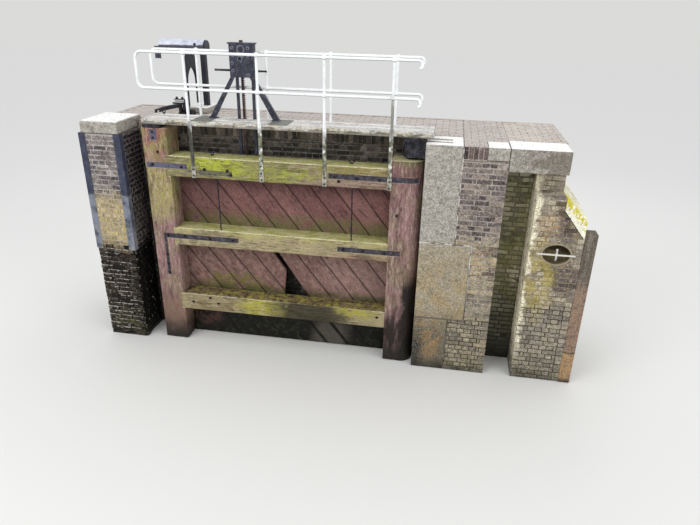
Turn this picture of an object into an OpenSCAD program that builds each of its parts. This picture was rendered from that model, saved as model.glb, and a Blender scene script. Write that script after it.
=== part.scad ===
// Timber mitre gate leaf of a lock, standing open in its recess in the lock wall.
// The origin is on the heel post's axis at the water line. X runs along the wall,
// Y into the wall and Z up. The leaf reaches from the heel post towards -X.

/* [Leaf] */
// Heel post's axis to the front corner of the mitre post
leaf_len = 4180; // [3700:10:4600]
// Thickness of the posts, and of the whole leaf
leaf_t = 400; // [360:5:440]
// Gap between the cut foot of the leaf and the water line
foot_gap = 15; // [10:1:30]
// Top of the heel post
heel_top = 3448; // [3400:1:3480]
// Width of the heel post from its axis to the rails
heel_flat = 275; // [240:5:320]
// Top of the mitre post
mitre_top = 3736; // [3600:1:3760]
// Width of the mitre post at its front face
mitre_w = 405; // [340:5:460]
// Angle of the mitre post's end face
mitre_angle = 20; // [10:1:25]
// Top of the top rail
top_rail_z = 3324; // [3200:1:3380]
// Height of the top rail
top_rail_h = 335; // [280:5:380]
// Distance between the tops of neighbouring rails
rail_pitch = 1203; // [1100:1:1240]
// Height of a middle rail
mid_rail_h = 305; // [250:5:340]
// Depth of the rails, front to back
rail_depth = 310; // [270:5:340]
// Chamfer along the rails' front edges
rail_chamfer = 12; // [4:1:20]
// How far a rail's front laps over the mitre post
lap_w = 50; // [30:1:80]
// Thickness of the lap
lap_t = 60; // [30:1:90]

/* [Planking] */
// Width of a diagonal board
board_w = 308; // [220:4:380]
// Thickness of a board
board_t = 60; // [40:2:80]
// Joint between two boards
board_gap = 4; // [2:0.5:8]
// Slope of the boards
board_angle = 52; // [45:1:60]
// First board's joint from the foot of the mitre post
board_shift = 115; // [0:1:200]
// Top of the boards below the top rail's top
board_drop = 60; // [40:1:90]

/* [Leaf ironwork] */
// Height of a strap
strap_h = 80; // [60:1:100]
// Thickness of the ironwork let into the timber
strap_t = 12; // [8:1:16]
// Top rail's outer strap over the mitre post's corner
strap_edge = 20; // [10:1:40]
// Length of the top rail's outer strap
outer_strap = 670; // [500:5:780]
// Start of the top rail's plate from the mitre post's corner
plate_from = 890; // [840:5:950]
// Length of the top rail's plate
plate_len = 540; // [400:5:600]
// Plate's centre below the strap's centre
plate_drop = 75; // [0:1:90]
// Heel strap's reach along the rail from the heel post's axis
heel_strap = 1220; // [900:5:1400]
// Turn of the heel strap round the heel post
heel_wrap = 45; // [20:1:60]
// Reach of the corner strap along the middle rail
corner_strap = 1240; // [900:5:1400]
// Width of the corner strap's upright
corner_w = 50; // [40:1:70]
// Length of the corner strap's upright
corner_h = 760; // [500:5:900]
// Corner strap from the mitre post's corner
corner_in = 170; // [120:5:220]
// Reach of the middle rail's heel strap from the heel post's axis
mid_strap = 1070; // [900:5:1250]
// End of that strap from the heel post's axis
mid_strap_end = 80; // [60:5:120]
// Bracket from the mitre post's corner
bracket_in = 130; // [100:5:180]
// Bracket below the mitre post's top
bracket_drop = 16; // [8:1:30]
// Width of the bracket on the mitre post's top
bracket_w = 105; // [70:1:150]
// Height of the bracket on the mitre post's top
bracket_h = 170; // [120:5:240]
// Radius of the tie rods
rod_r = 11; // [8:0.5:16]
// Outer tie rod from the heel post's axis
rod_outer = 3015; // [2850:5:3200]
// Inner tie rod from the heel post's axis
rod_inner = 860; // [700:5:1000]
// Tie rods behind the leaf's front face
rod_in = 40; // [25:1:80]
// Radius of the ring on the top rail
ring_r = 42; // [30:1:50]
// Radius of the ring's bar
ring_bar = 8; // [6:0.5:11]
// Ring from the inner tie rod
ring_in = 30; // [25:1:60]
// Small ring from the outer tie rod
eye_in = 100; // [50:5:150]

/* [Deck] */
// Deck's end from the mitre post's corner
deck_end = 16; // [0:2:60]
// How far the deck reaches past the heel post's axis
deck_over = 306; // [200:2:400]
// Top of the deck
deck_z = 3877; // [3850:1:3950]
// Width of the deck
deck_w = 500; // [450:5:550]
// Deck behind the rack's middle
deck_back = 110; // [105:1:150]
// Thickness of a deck plank
plank_t = 42; // [30:1:60]
// Planks in front of the rack
plank_n = 3; // [2:1:4]
// Gap between two deck planks
plank_gap = 6; // [3:1:12]
// Thickness of the timbers under the planks
stringer_t = 38; // [30:1:60]
// Width of the timbers under the planks
stringer_w = 85; // [60:5:110]
// Length of the block on the mitre post
mitre_bearer = 280; // [200:5:340]
// Half the length of the block on the neck pin
neck_bearer = 120; // [90:5:160]

/* [Railing] */
// Radius of the railing tubes
tube_r = 21; // [16:0.5:26]
// Radius of the balls where the tubes cross
ball_r = 38; // [32:1:46]
// Height of the handrail's top over the deck
handrail_h = 1000; // [900:10:1100]
// Height of the knee rail's centre over the deck
knee_h = 465; // [380:5:560]
// Radius of the bends in the railing
bend_r = 100; // [70:5:140]
// First railing post from the heel post's axis
post_first = 293; // [250:2:340]
// Distance between railing posts
post_pitch = 988; // [900:2:1040]
// Reach of the railing's loop past the last post
rail_loop = 748; // [600:2:790]
// Railing's loop from the deck's end
loop_in = 43; // [20:1:80]
// How far the rails reach past the first post, towards the quoin
rail_over = 383; // [300:1:420]
// Radius of the hooks at the rails' ends
hook_r = 58; // [40:1:70]
// Turn of the hooks at the rails' ends
hook_turn = 150; // [90:5:170]
// Back railing from the deck's back edge
rail_in = 40; // [30:1:60]
// Width of the flat bars under the front posts
bar_w = 55; // [40:1:70]
// Thickness of the flat bars
bar_t = 12; // [8:1:16]
// Height of the flat bars over the deck
bar_over = 30; // [15:1:50]

/* [Paddle gear] */
// Centre of the gear from the heel post's axis
gear_x = 2604; // [2400:4:2800]
// Width of the gear housing
gear_w = 370; // [320:5:420]
// Depth of the gear housing
gear_d = 130; // [116:2:136]
// How far the rack runs behind the housing's middle
gear_offset = 30; // [26:1:36]
// Height of the gear housing
gear_h = 490; // [400:5:560]
// Height of the housing's underside over the deck
gear_stand = 625; // [560:5:700]
// Thickness of the housing's lid
lid_t = 20; // [12:1:30]
// How far the lid stands out at each side
lid_over = 20; // [10:1:30]
// Radius of the cover on the housing's front
hub_r = 65; // [50:1:80]
// Thickness of the cover
hub_t = 12; // [8:1:20]
// Centre of the cover below the housing's top
hub_drop = 90; // [80:1:130]
// Radius of the crank shaft
crank_r = 16; // [13:0.5:20]
// Radius of the shaft's end, which takes the crank
crank_end_r = 14; // [10:0.5:18]
// Length of the shaft's end
crank_end = 100; // [60:5:120]
// Shaft outside the housing, towards the mitre post
crank_out = 252; // [150:2:300]
// Shaft outside the housing, towards the heel post
crank_in = 89; // [60:1:120]
// Height of the shaft over the housing's underside
crank_up = 95; // [60:1:130]
// How far the shaft runs in front of the rack
crank_before = 55; // [46:1:60]
// Rack's middle from the housing's middle
rack_side = 23; // [10:1:40]
// Width of the rack with its teeth
rack_w = 46; // [36:2:56]
// Thickness of the rack
rack_t = 34; // [26:2:40]
// Pitch of the rack's teeth
tooth_pitch = 31.4; // [24:0.2:40]
// Height of the rack's teeth
tooth_h = 18; // [12:1:20]
// Top of the rack over the housing
rack_up = 30; // [20:1:60]
// Clearance round the rack and the guide posts
rack_gap = 3; // [2:0.5:5]
// Running clearance of the rack in its housing
guide_gap = 0.3; // [0.2:0.05:0.5]
// Outer guide post from the rack's middle
guide_out = 88; // [75:1:110]
// Inner guide post from the rack's middle
guide_in = 160; // [120:1:180]
// Width of a guide post
guide_w = 40; // [30:2:50]
// Length of the guide posts on the boards
guide_foot = 200; // [120:5:300]
// Reach of the legs' feet from the gear's middle
leg_reach = 505; // [440:5:560]
// Width of a leg
leg_w = 97; // [70:1:110]
// Depth of a leg
leg_d = 60; // [40:1:66]
// Thickness of a leg's sides
leg_side = 10; // [8:1:16]
// Middle of the plates under the feet from the gear's middle
plate_reach = 600; // [580:5:640]
// Width of the plates under the feet
plate_w = 300; // [280:5:340]
// Thickness of the plates under the feet
foot_plate_t = 6; // [4:1:10]

/* [Wall] */
// Front of the masonry before the leaf's face
wall_proud = 100; // [60:5:160]
// Clear space behind the leaf
recess_gap = 130; // [115:5:200]
// Thickness of the lock wall
wall_t = 1450; // [1400:10:1700]
// Top of the lock wall
quay_z = 3746; // [3700:1:3760]
// Running clearance round the heel post
quoin_gap = 10; // [6:1:20]
// Width of the quoin stones' front
quoin_w = 540; // [480:2:640]
// Width of the middle quoin stone's front
quoin_mid_w = 790; // [700:2:850]
// Top of the lowest quoin stone
quoin_joint_low = 940; // [700:1:1200]
// Top of the middle quoin stone
quoin_joint_high = 2239; // [1900:1:2600]
// Width of the pier between the heel post's recess and the slot
pier_w = 1188; // [1120:2:1300]
// Width of the granite block beside the slot
block_w = 313; // [250:1:330]
// Height of the granite block
block_h = 196; // [150:1:240]
// Depth of the granite block
block_d = 420; // [300:5:500]

/* [Slot and end pier] */
// Width of the slot
slot_w = 435; // [350:5:520]
// Depth of the slot
slot_depth = 560; // [400:10:800]
// Underside of the slot's lintel
lintel_z = 3402; // [3300:1:3500]
// Bearing of the lintel on the end pier
lintel_seat = 400; // [300:5:410]
// Width of the end pier
end_pier_w = 761; // [650:1:850]
// Top of the end pier's front
end_pier_top = 3084; // [2900:1:3200]
// Width of the end pier's top
end_top_w = 417; // [412:1:500]
// Depth of the end pier's low front
end_front_d = 300; // [200:5:380]
// Top of the end pier's outer side
end_side_z = 2453; // [2300:1:2600]
// Height of the shoulder stone at its upper end
shoulder_in = 199; // [150:1:260]
// Height of the shoulder stone at its lower end
shoulder_out = 347; // [250:1:400]
// Middle of the niche from the slot
niche_x = 402; // [360:2:440]
// Height of the niche's middle
niche_z = 2210; // [2000:5:2230]
// Half the width of the niche
niche_w = 200; // [140:5:240]
// Half the height of the niche
niche_h = 150; // [100:5:160]
// Depth of the niche
niche_d = 120; // [60:5:200]
// Length of the iron cross in front of the niche
cross_w = 540; // [500:5:600]
// Height of the iron cross
cross_h = 190; // [140:5:240]
// Width of the iron cross's bars
cross_bar = 25; // [18:1:35]
// Thickness of the iron cross
cross_t = 12; // [8:1:18]
// Width of the fender post
fender_w = 180; // [140:5:220]
// Depth of the fender post
fender_d = 220; // [160:5:260]
// Top of the fender post
fender_top = 2560; // [2300:5:2700]

/* [Left pier] */
// Gap between the mitre post and the left pier
left_gap = 325; // [280:5:400]
// Width of the left pier
left_w = 696; // [600:2:800]
// Top of the left pier's bricks
left_top = 3624; // [3500:1:3700]
// Thickness of the left pier's capstone
cap_t = 199; // [150:1:260]
// Capstone's set-back at the outer side
cap_inset = 45; // [20:1:70]
// Depth of the capstone
cap_d = 780; // [650:10:900]
// Chamfer round the capstone's top
cap_chamfer = 22; // [10:1:40]
// Front leg of a corner iron
iron_front = 112; // [80:1:140]
// Side leg of a corner iron
iron_side = 100; // [70:1:130]
// Thickness of a corner iron
iron_t = 12; // [8:1:16]
// Foot of the corner irons
iron_foot = 1680; // [1400:10:1900]
// Joint between the lengths of a corner iron
iron_joint = 2600; // [2300:10:2900]

/* [Bearings] */
// Radius of the neck pin
neck_r = 65; // [50:1:80]
// Wall of the neck bearing's collar
collar_wall = 55; // [40:5:70]
// Height of the bearing over the heel post
bearing_gap = 40; // [30:5:60]
// Bearing's top below the quay
bearing_drop = 20; // [15:1:30]
// Length of the anchor bars in the quoin stone
anchor_len = 380; // [300:10:450]
// Width of an anchor bar
anchor_w = 60; // [40:5:70]
// Thickness of an anchor bar
anchor_t = 26; // [20:1:34]
// Gap between ironwork and the stone it is let into
seat_gap = 0.3; // [0.2:0.05:0.5]
// Radius of the pintle
pintle_r = 60; // [45:1:75]
// Height of the pintle in the heel post
pintle_h = 110; // [80:5:150]
// Radius of the pintle's base plate
pintle_plate_r = 190; // [160:2:200]
// Thickness of the pintle's base plate
pintle_plate_t = 12; // [8:1:14]
// Running clearance round the pins
pin_gap = 0.1; // [0.05:0.01:0.1]

/* [Quay] */
// Winch's column from the mitre post's corner
winch_in = 437; // [400:1:520]
// Width of the winch's column
column_w = 86; // [70:1:150]
// Depth of the winch's column
column_d = 90; // [70:1:160]
// End of the winch's base from the column's side
base_end = 80; // [40:5:120]
// Winch's middle line behind the recess wall's face
winch_back = 1075; // [1040:5:1100]
// Length of the winch's base
base_len = 410; // [380:5:480]
// Height of the winch's base
base_h = 104; // [60:1:140]
// Depth of the winch's base
base_d = 560; // [540:5:600]
// Height of the winch's hood over the quay
hood_z = 1075; // [950:5:1150]
// Radius of the winch's hood
hood_r = 115; // [100:1:130]
// Length of the winch's hood
hood_len = 800; // [700:5:900]
// Drop of the hood's straight skirt
hood_skirt = 85; // [60:1:110]
// Wall of the winch's hood
hood_wall = 8; // [5:1:12]
// Room between the winch's column and the hood's end wall
hood_room = 2; // [0:1:20]
// Radius of the disc at the hood's end
disc_r = 105; // [90:1:115]
// Thickness of the disc
disc_t = 30; // [20:1:40]
// Width of the plate that hangs from the hood's far end
drop_w = 105; // [80:1:130]
// Height of that plate
drop_h = 200; // [180:1:230]
// Part of the plate's width beyond the hood's end
drop_out = 75; // [50:1:85]
// Thickness of that plate
drop_t = 14; // [8:1:20]
// Thickness of the winch's trestle
trestle_t = 50; // [30:1:70]
// Width of the trestle's legs
trestle_leg = 70; // [50:1:90]
// Height over the quay at which the trestle's arch springs
arch_z = 484; // [440:2:520]
// Radius of each side of the trestle's pointed arch
arch_r = 280; // [260:5:320]
// Height of the trestle's shoulders over the quay
trestle_top = 820; // [780:5:860]
// Trestle's shoulders from the winch's line
trestle_out = 220; // [200:5:240]
// Latch's post from the mitre post's corner
latch_in = 230; // [200:5:260]
// Latch's post behind the recess wall's face
latch_back = 570; // [540:5:600]
// Radius of the latch's curved arm
latch_r = 1061; // [1040:1:1080]
// Sweep of the latch's arm
latch_sweep = 40; // [36:1:42]
// Direction in which the latch's arm starts
latch_turn = 148; // [146:1:150]
// Width of the latch's arm
latch_w = 30; // [20:1:40]
// Thickness of the latch's arm
latch_t = 24; // [16:1:30]
// Clear height of the latch's arm over the deck
latch_up = 48; // [40:1:70]
// Length of the latch's straight bar
latch_bar = 260; // [220:5:300]
// Width of the straight bar
latch_bar_w = 30; // [20:1:40]
// Width of the latch's foot
latch_foot = 100; // [80:1:120]

/* [Hidden] */
$fn = 48;
eps = 1;
face_y = -leaf_t / 2;
back_y = leaf_t / 2;
wall_y = face_y - wall_proud;
recess_y = back_y + recess_gap;
wall_back = recess_y + wall_t;
mitre_x = -leaf_len;
rail_x0 = mitre_x + mitre_w;
rail_x1 = -heel_flat;
rail_len = rail_x1 - rail_x0;
board_y = face_y + rail_depth;
board_back = board_y + board_t;
board_top = top_rail_z - board_drop;
mid_rail_z = top_rail_z - rail_pitch;
low_rail_z = top_rail_z - 2 * rail_pitch;
rail_tops = [[top_rail_z, top_rail_h], [mid_rail_z, mid_rail_h], [low_rail_z, mid_rail_h]];
strap_z = top_rail_z - top_rail_h / 2;
mid_strap_z = mid_rail_z - mid_rail_h / 2;

rack_x = -gear_x - rack_side;
rack_y = board_back + rack_gap + rack_t / 2;
slot_y0 = board_back - rack_gap;
slot_y1 = rack_y + rack_t / 2 + rack_gap;
gear_y = rack_y - gear_offset;
gear_front = gear_y - gear_d / 2;
gear_z = deck_z + gear_stand;
crank_y = rack_y - crank_before;
crank_z = gear_z + crank_up;
foot_t = 10;
pawl_w = 22;
pawl_len = 105;

deck_x0 = mitre_x + deck_end;
deck_y1 = rack_y + deck_back;
deck_y0 = deck_y1 - deck_w;
deck_under = deck_z - plank_t;
stringer_under = deck_under - stringer_t;
plank_w = (rack_y - plank_gap / 2 - deck_y0 - (plank_n - 1) * plank_gap) / plank_n;

loop_x = deck_x0 + loop_in;
last_post_x = loop_x + rail_loop;
post_xs = [-post_first, -post_first - post_pitch, -post_first - 2 * post_pitch, last_post_x];
rail_end_x = -post_first + rail_over - hook_r;
hand_z = deck_z + handrail_h - tube_r;
knee_z = deck_z + knee_h;
front_tube_y = face_y - tube_r;
back_tube_y = deck_y1 - rail_in;

quoin_x = leaf_t / 2 + quoin_gap;
slot_x = quoin_x + pier_w;
end_x = slot_x + slot_w;
end_x1 = end_x + end_pier_w;
shoulder_x = end_x + end_top_w;
left_x1 = mitre_x - left_gap;
left_x0 = left_x1 - left_w;
collar_r = neck_r + collar_wall;
bearing_z = heel_top + bearing_gap;
bearing_top = quay_z - bearing_drop;
bearer_r = leaf_t / 2;

winch_x = mitre_x + winch_in;
winch_y = recess_y + winch_back;
base_x1 = winch_x + column_w / 2 + base_end;
base_x0 = base_x1 - base_len;
hood_x1 = winch_x + column_w / 2 + hood_room + hood_wall;
hood_x0 = hood_x1 - hood_len;
latch_z = deck_z + latch_up;

// Outline of the hole in the middle bay: distance from the rails' outer ends, height
// over the lower middle rail. A joint has opened and the board beside it has lost its foot.
hole = [[1472, 882], [1560, 882], [1830, 489], [2128, 22], [2175, -38], [1720, -38], [1756, 441]];

module block(x0, x1, y0, y1, z0, z1) {
    translate([x0, y0, z0])
        cube([x1 - x0, y1 - y0, z1 - z0]);
}

// An outline in X and Z, extruded from y0 to y1
module along_y(y0, y1) {
    translate([0, y1, 0])
        rotate([90, 0, 0])
            linear_extrude(y1 - y0)
                children();
}

// An outline in Y and Z, extruded from x0 to x1
module along_x(x0, x1) {
    translate([x0, 0, 0])
        rotate([90, 0, 90])
            linear_extrude(x1 - x0)
                children();
}

// A shaft along X
module shaft(x0, x1, y, z, r) {
    translate([x0, y, z])
        rotate([0, 90, 0])
            cylinder(r = r, h = x1 - x0);
}

module corner_iron(x, side, z0, z1) {
    block(min(x, x + side * iron_front), max(x, x + side * iron_front), wall_y, wall_y + iron_t, z0, z1);
    block(min(x, x + side * iron_t), max(x, x + side * iron_t), wall_y, wall_y + iron_side, z0, z1);
}

module corner_irons() {
    for (corner = [[left_x0, 1], [left_x1, -1]], ends = [[iron_foot, iron_joint], [iron_joint, left_top]])
        corner_iron(corner[0], corner[1], ends[0], ends[1]);
}

module left_pier() {
    color("dimgray")
        difference() {
            block(left_x0, left_x1, wall_y, recess_y, 0, left_top);
            corner_irons();
        }
}

module left_capstone() {
    x0 = left_x0 + cap_inset;
    x1 = left_x1 - cap_inset / 2;
    y1 = wall_y + cap_d;
    z1 = left_top + cap_t;
    color("lightgray")
        intersection() {
            along_y(wall_y, y1)
                polygon([
                    [x0, left_top], [x1, left_top], [x1, z1 - cap_chamfer],
                    [x1 - cap_chamfer, z1], [x0 + cap_chamfer, z1], [x0, z1 - cap_chamfer]
                ]);
            along_x(x0, x1)
                polygon([
                    [wall_y, left_top], [y1, left_top], [y1, z1 - cap_chamfer],
                    [y1 - cap_chamfer, z1], [wall_y + cap_chamfer, z1], [wall_y, z1 - cap_chamfer]
                ]);
        }
}

module niche_cross() {
    x = end_x + niche_x;
    block(x - cross_w / 2, x + cross_w / 2, wall_y - cross_t, wall_y,
          niche_z - cross_bar / 2, niche_z + cross_bar / 2);
    block(x - cross_bar / 2, x + cross_bar / 2, wall_y - cross_t, wall_y,
          niche_z - cross_h / 2, niche_z + cross_h / 2);
}

module wall_irons() {
    color("slategray") {
        corner_irons();
        niche_cross();
    }
}

module recess_wall() {
    color("gray")
        difference() {
            block(left_x0, quoin_x + quoin_w, recess_y, wall_back, 0, quay_z);
            block(left_x0 - eps, left_x1, recess_y - eps, wall_y + cap_d, left_top, quay_z + eps);
        }
}

module quoin_stone(width, z0, z1) {
    color("silver")
        difference() {
            block(0, quoin_x + width, wall_y, recess_y, z0, z1);
            translate([0, 0, z0 - eps])
                cylinder(r = quoin_x, h = z1 - z0 + 2 * eps, $fn = 96);
            block(-eps, quoin_x, wall_y - eps, 0, z0 - eps, z1 + eps);
        }
}

module lower_quoin_stone() {
    quoin_stone(quoin_w, 0, quoin_joint_low);
}

module middle_quoin_stone() {
    quoin_stone(quoin_mid_w, quoin_joint_low, quoin_joint_high);
}

module upper_quoin_stone() {
    difference() {
        quoin_stone(quoin_w, quoin_joint_high, quay_z);
        anchor_bars(seat_gap, quay_z);
    }
}

module brick_pier() {
    color("dimgray")
        difference() {
            block(quoin_x + quoin_w, slot_x, wall_y, wall_back, 0, quay_z);
            block(quoin_x, quoin_x + quoin_mid_w, wall_y - eps, recess_y,
                  quoin_joint_low, quoin_joint_high);
            block(slot_x - block_w, slot_x + eps, wall_y - eps, wall_y + block_d,
                  quay_z - block_h, quay_z + eps);
        }
}

module pier_block() {
    color("silver")
        block(slot_x - block_w, slot_x, wall_y, wall_y + block_d, quay_z - block_h, quay_z);
}

module slot_wall() {
    color("darkolivegreen")
        block(slot_x, end_x, wall_y + slot_depth, wall_back, 0, quay_z);
}

module lintel() {
    color("silver")
        block(slot_x, end_x + lintel_seat, wall_y, wall_y + slot_depth, lintel_z, quay_z);
}

// The end pier is low in front, where the slope of its shoulder begins, and carries the
// lintel behind.
module end_pier() {
    color("rosybrown")
        difference() {
            union() {
                along_y(wall_y, wall_back)
                    polygon([
                        [end_x, 0], [end_x1, 0], [end_x1, end_side_z],
                        [shoulder_x, end_pier_top - shoulder_in], [shoulder_x, end_pier_top],
                        [end_x, end_pier_top]
                    ]);
                block(end_x, shoulder_x, wall_y + end_front_d, wall_back, 0, lintel_z);
                block(end_x, shoulder_x, wall_y + slot_depth, wall_back, 0, quay_z);
            }
            along_y(wall_y - eps, wall_y + niche_d)
                polygon([
                    for (i = [0 : 39])
                        [end_x + niche_x + niche_w * cos(9 * i), niche_z + niche_h * sin(9 * i)]
                ]);
        }
}

module shoulder_stone() {
    color("beige")
        along_y(wall_y, wall_back)
            polygon([
                [shoulder_x, end_pier_top - shoulder_in], [end_x1, end_side_z],
                [end_x1, end_side_z + shoulder_out], [shoulder_x, end_pier_top]
            ]);
}

module fender_post() {
    color("saddlebrown")
        block(end_x1, end_x1 + fender_w, wall_y, wall_y + fender_d, 0, fender_top);
}

module anchor_bars(gap, top) {
    for (side = [-1, 1])
        block(quoin_x / 2, quoin_x + anchor_len + gap, side * (collar_r - anchor_w / 2) - anchor_w / 2 - gap,
              side * (collar_r - anchor_w / 2) + anchor_w / 2 + gap,
              bearing_top - anchor_t - gap, bearing_top + top);
}

module neck_bearing() {
    color("dimgray")
        difference() {
            union() {
                intersection() {
                    union() {
                        translate([0, 0, bearing_z])
                            cylinder(r = collar_r, h = bearing_top - bearing_z);
                        block(0, quoin_x, -collar_r, collar_r, bearing_z, bearing_top);
                    }
                    union() {
                        cylinder(r = quoin_x - seat_gap, h = deck_z, $fn = 96);
                        block(-quoin_x, quoin_x, -quoin_x, 0, 0, deck_z);
                    }
                }
                anchor_bars(0, 0);
            }
            translate([0, 0, heel_top])
                cylinder(r = neck_r + pin_gap, h = quay_z - heel_top);
        }
}

module pintle() {
    color("dimgray") {
        cylinder(r = pintle_plate_r, h = pintle_plate_t);
        cylinder(r = pintle_r, h = pintle_plate_t + pintle_h);
    }
}

module winch_base() {
    color("darkgray")
        block(base_x0, base_x1, winch_y - base_d / 2, winch_y + base_d / 2, quay_z, quay_z + base_h);
}

// The trestle's plate, over the quay and about the winch's line
module trestle_outline() {
    foot_y = base_d / 2 - 10;
    leg_y = foot_y - trestle_leg;
    head_y = hood_r - hood_wall;
    difference() {
        polygon([
            [-foot_y, base_h], [foot_y, base_h], [trestle_out, trestle_top],
            [head_y, hood_z - hood_skirt], [head_y, hood_z], [-head_y, hood_z],
            [-head_y, hood_z - hood_skirt], [-trestle_out, trestle_top]
        ]);
        translate([0, arch_z])
            intersection() {
                translate([leg_y - arch_r, 0])
                    circle(r = arch_r, $fn = 96);
                translate([arch_r - leg_y, 0])
                    circle(r = arch_r, $fn = 96);
            }
        translate([-leg_y, base_h - eps])
            square([2 * leg_y, arch_z - base_h + eps]);
    }
}

// A trestle across the winch's line, with a pointed arch between its legs
module winch_trestle() {
    color("darkslategray")
        translate([0, winch_y, quay_z])
            along_x(base_x0 + 10, base_x0 + 10 + trestle_t)
                trestle_outline();
}

module winch_column() {
    color("darkslategray")
        block(winch_x - column_w / 2, winch_x + column_w / 2, winch_y - column_d / 2,
              winch_y + column_d / 2, quay_z + base_h, quay_z + hood_z);
}

module hood_outline(r, drop) {
    intersection() {
        circle(r = r);
        translate([-r, 0])
            square([2 * r, r]);
    }
    translate([-r, -drop])
        square([2 * r, drop + eps]);
}

// The hood's skirt is bolted to the sides of the trestle's head.
module winch_hood() {
    z = quay_z + hood_z;
    color("slategray") {
        translate([0, winch_y, z])
            difference() {
                along_x(hood_x0, hood_x1)
                    hood_outline(hood_r, hood_skirt);
                along_x(hood_x0 + hood_wall, hood_x1 - hood_wall)
                    hood_outline(hood_r - hood_wall, hood_skirt + eps);
            }
        block(hood_x0 - drop_out, hood_x0 - drop_out + drop_w, winch_y - hood_r - drop_t,
              winch_y - hood_r, z - drop_h - eps, z - eps);
        shaft(hood_x1, hood_x1 + disc_t, winch_y, z, disc_r);
    }
}

module leaf_latch() {
    x = mitre_x + latch_in;
    y = recess_y + latch_back;
    color("dimgray") {
        block(x - latch_foot / 2, x + latch_foot / 2, y - latch_foot / 2, y + latch_foot / 2,
              quay_z, quay_z + foot_t);
        translate([x, y, quay_z])
            cylinder(r = latch_w / 2 + 6, h = latch_z - quay_z + latch_t + 10);
        translate([x, y, latch_z])
            rotate([0, 0, latch_turn])
                translate([-latch_r, 0, 0]) {
                    rotate_extrude(angle = latch_sweep, $fn = 96)
                        translate([latch_r - latch_w / 2, 0])
                            square([latch_w, latch_t]);
                    rotate([0, 0, latch_sweep])
                        translate([latch_r, 0, -latch_up / 2])
                            cylinder(r = latch_w / 2 + 5, h = latch_up / 2 + latch_t + 5);
                }
        block(x + latch_foot / 2 - latch_bar, x + latch_foot / 2, y + latch_w / 2,
              y + latch_w / 2 + latch_bar_w, latch_z, latch_z + latch_t);
    }
}

// Straps and plates, let in flush with the leaf's front
module flat_strap(x0, x1, z) {
    block(x0, x1, face_y, face_y + strap_t, z - strap_h / 2, z + strap_h / 2);
}

module corner_strap_outline() {
    x = mitre_x + corner_in;
    z = mid_strap_z + strap_h / 2;
    polygon([
        [x, z], [x, z - corner_h], [x + corner_w, z - corner_h], [x + corner_w, z - strap_h],
        [x + corner_w + corner_strap, z - strap_h], [x + corner_w + corner_strap, z]
    ]);
}

module leaf_strap_shapes() {
    flat_strap(mitre_x + strap_edge, mitre_x + strap_edge + outer_strap, strap_z);
    flat_strap(mitre_x + plate_from, mitre_x + plate_from + plate_len, strap_z - plate_drop);
    flat_strap(-heel_strap, 0, strap_z);
    translate([0, 0, strap_z - strap_h / 2])
        rotate([0, 0, -90])
            rotate_extrude(angle = heel_wrap, $fn = 96)
                translate([leaf_t / 2 - strap_t, 0])
                    square([strap_t, strap_h]);
    flat_strap(-mid_strap, -mid_strap_end, mid_strap_z);
    along_y(face_y, face_y + strap_t)
        corner_strap_outline();
    block(mitre_x + bracket_in, mitre_x + bracket_in + bracket_w, face_y, face_y + strap_t,
          mitre_top - bracket_drop - bracket_h, mitre_top - bracket_drop);
}

module leaf_straps() {
    color("dimgray")
        leaf_strap_shapes();
}

module rail_laps() {
    for (rail = rail_tops)
        block(rail_x0 - lap_w, rail_x0 + eps, face_y, face_y + lap_t, rail[0] - rail[1], rail[0]);
}

module mitre_post() {
    bevel = leaf_t * tan(mitre_angle);
    color("rosybrown")
        difference() {
            translate([0, 0, foot_gap])
                linear_extrude(mitre_top - foot_gap)
                    polygon([
                        [mitre_x, face_y], [rail_x0, face_y], [rail_x0, back_y],
                        [mitre_x - bevel, back_y]
                    ]);
            rail_laps();
            leaf_strap_shapes();
        }
}

module heel_post() {
    color("brown")
        difference() {
            translate([0, 0, foot_gap])
                linear_extrude(heel_top - foot_gap)
                    union() {
                        circle(r = leaf_t / 2, $fn = 96);
                        translate([rail_x1, face_y])
                            square([heel_flat, leaf_t]);
                    }
            cylinder(r = pintle_r + pin_gap, h = pintle_plate_t + pintle_h + 3);
            leaf_strap_shapes();
        }
}

module neck_pin() {
    color("dimgray")
        translate([0, 0, heel_top])
            cylinder(r = neck_r, h = mitre_top - heel_top);
}

module rail(z1, h) {
    c = rail_chamfer;
    color("rosybrown")
        difference() {
            union() {
                along_x(rail_x0, rail_x1)
                    polygon([
                        [face_y, z1 - h + c], [face_y + c, z1 - h], [board_y, z1 - h],
                        [board_y, z1], [face_y + c, z1], [face_y, z1 - c]
                    ]);
                block(rail_x0 - lap_w, rail_x0, face_y, face_y + lap_t, z1 - h, z1);
            }
            leaf_strap_shapes();
        }
}

module top_rail() {
    rail(top_rail_z, top_rail_h);
}

module upper_middle_rail() {
    rail(mid_rail_z, mid_rail_h);
}

module lower_middle_rail() {
    rail(low_rail_z, mid_rail_h);
}

module planking() {
    span = rail_len * sin(board_angle) + board_top * cos(board_angle);
    board_n = ceil((span - board_shift) / board_w);
    color("indianred")
        along_y(board_y, board_back)
            difference() {
                intersection() {
                    translate([rail_x0, foot_gap])
                        square([rail_len, board_top - foot_gap]);
                    for (i = [-1 : board_n - 1])
                        translate([rail_x0, 0])
                            rotate(-board_angle)
                                translate([-2 * leaf_len, board_shift + i * board_w])
                                    square([4 * leaf_len, board_w - board_gap]);
                }
                translate([rail_x0, low_rail_z])
                    polygon(hole);
            }
}

module tie_rods() {
    color("dimgray")
        for (x = [-rod_outer, -rod_inner])
            translate([x, face_y + rod_in, mid_rail_z])
                cylinder(r = rod_r, h = rail_pitch - top_rail_h);
}

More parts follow.
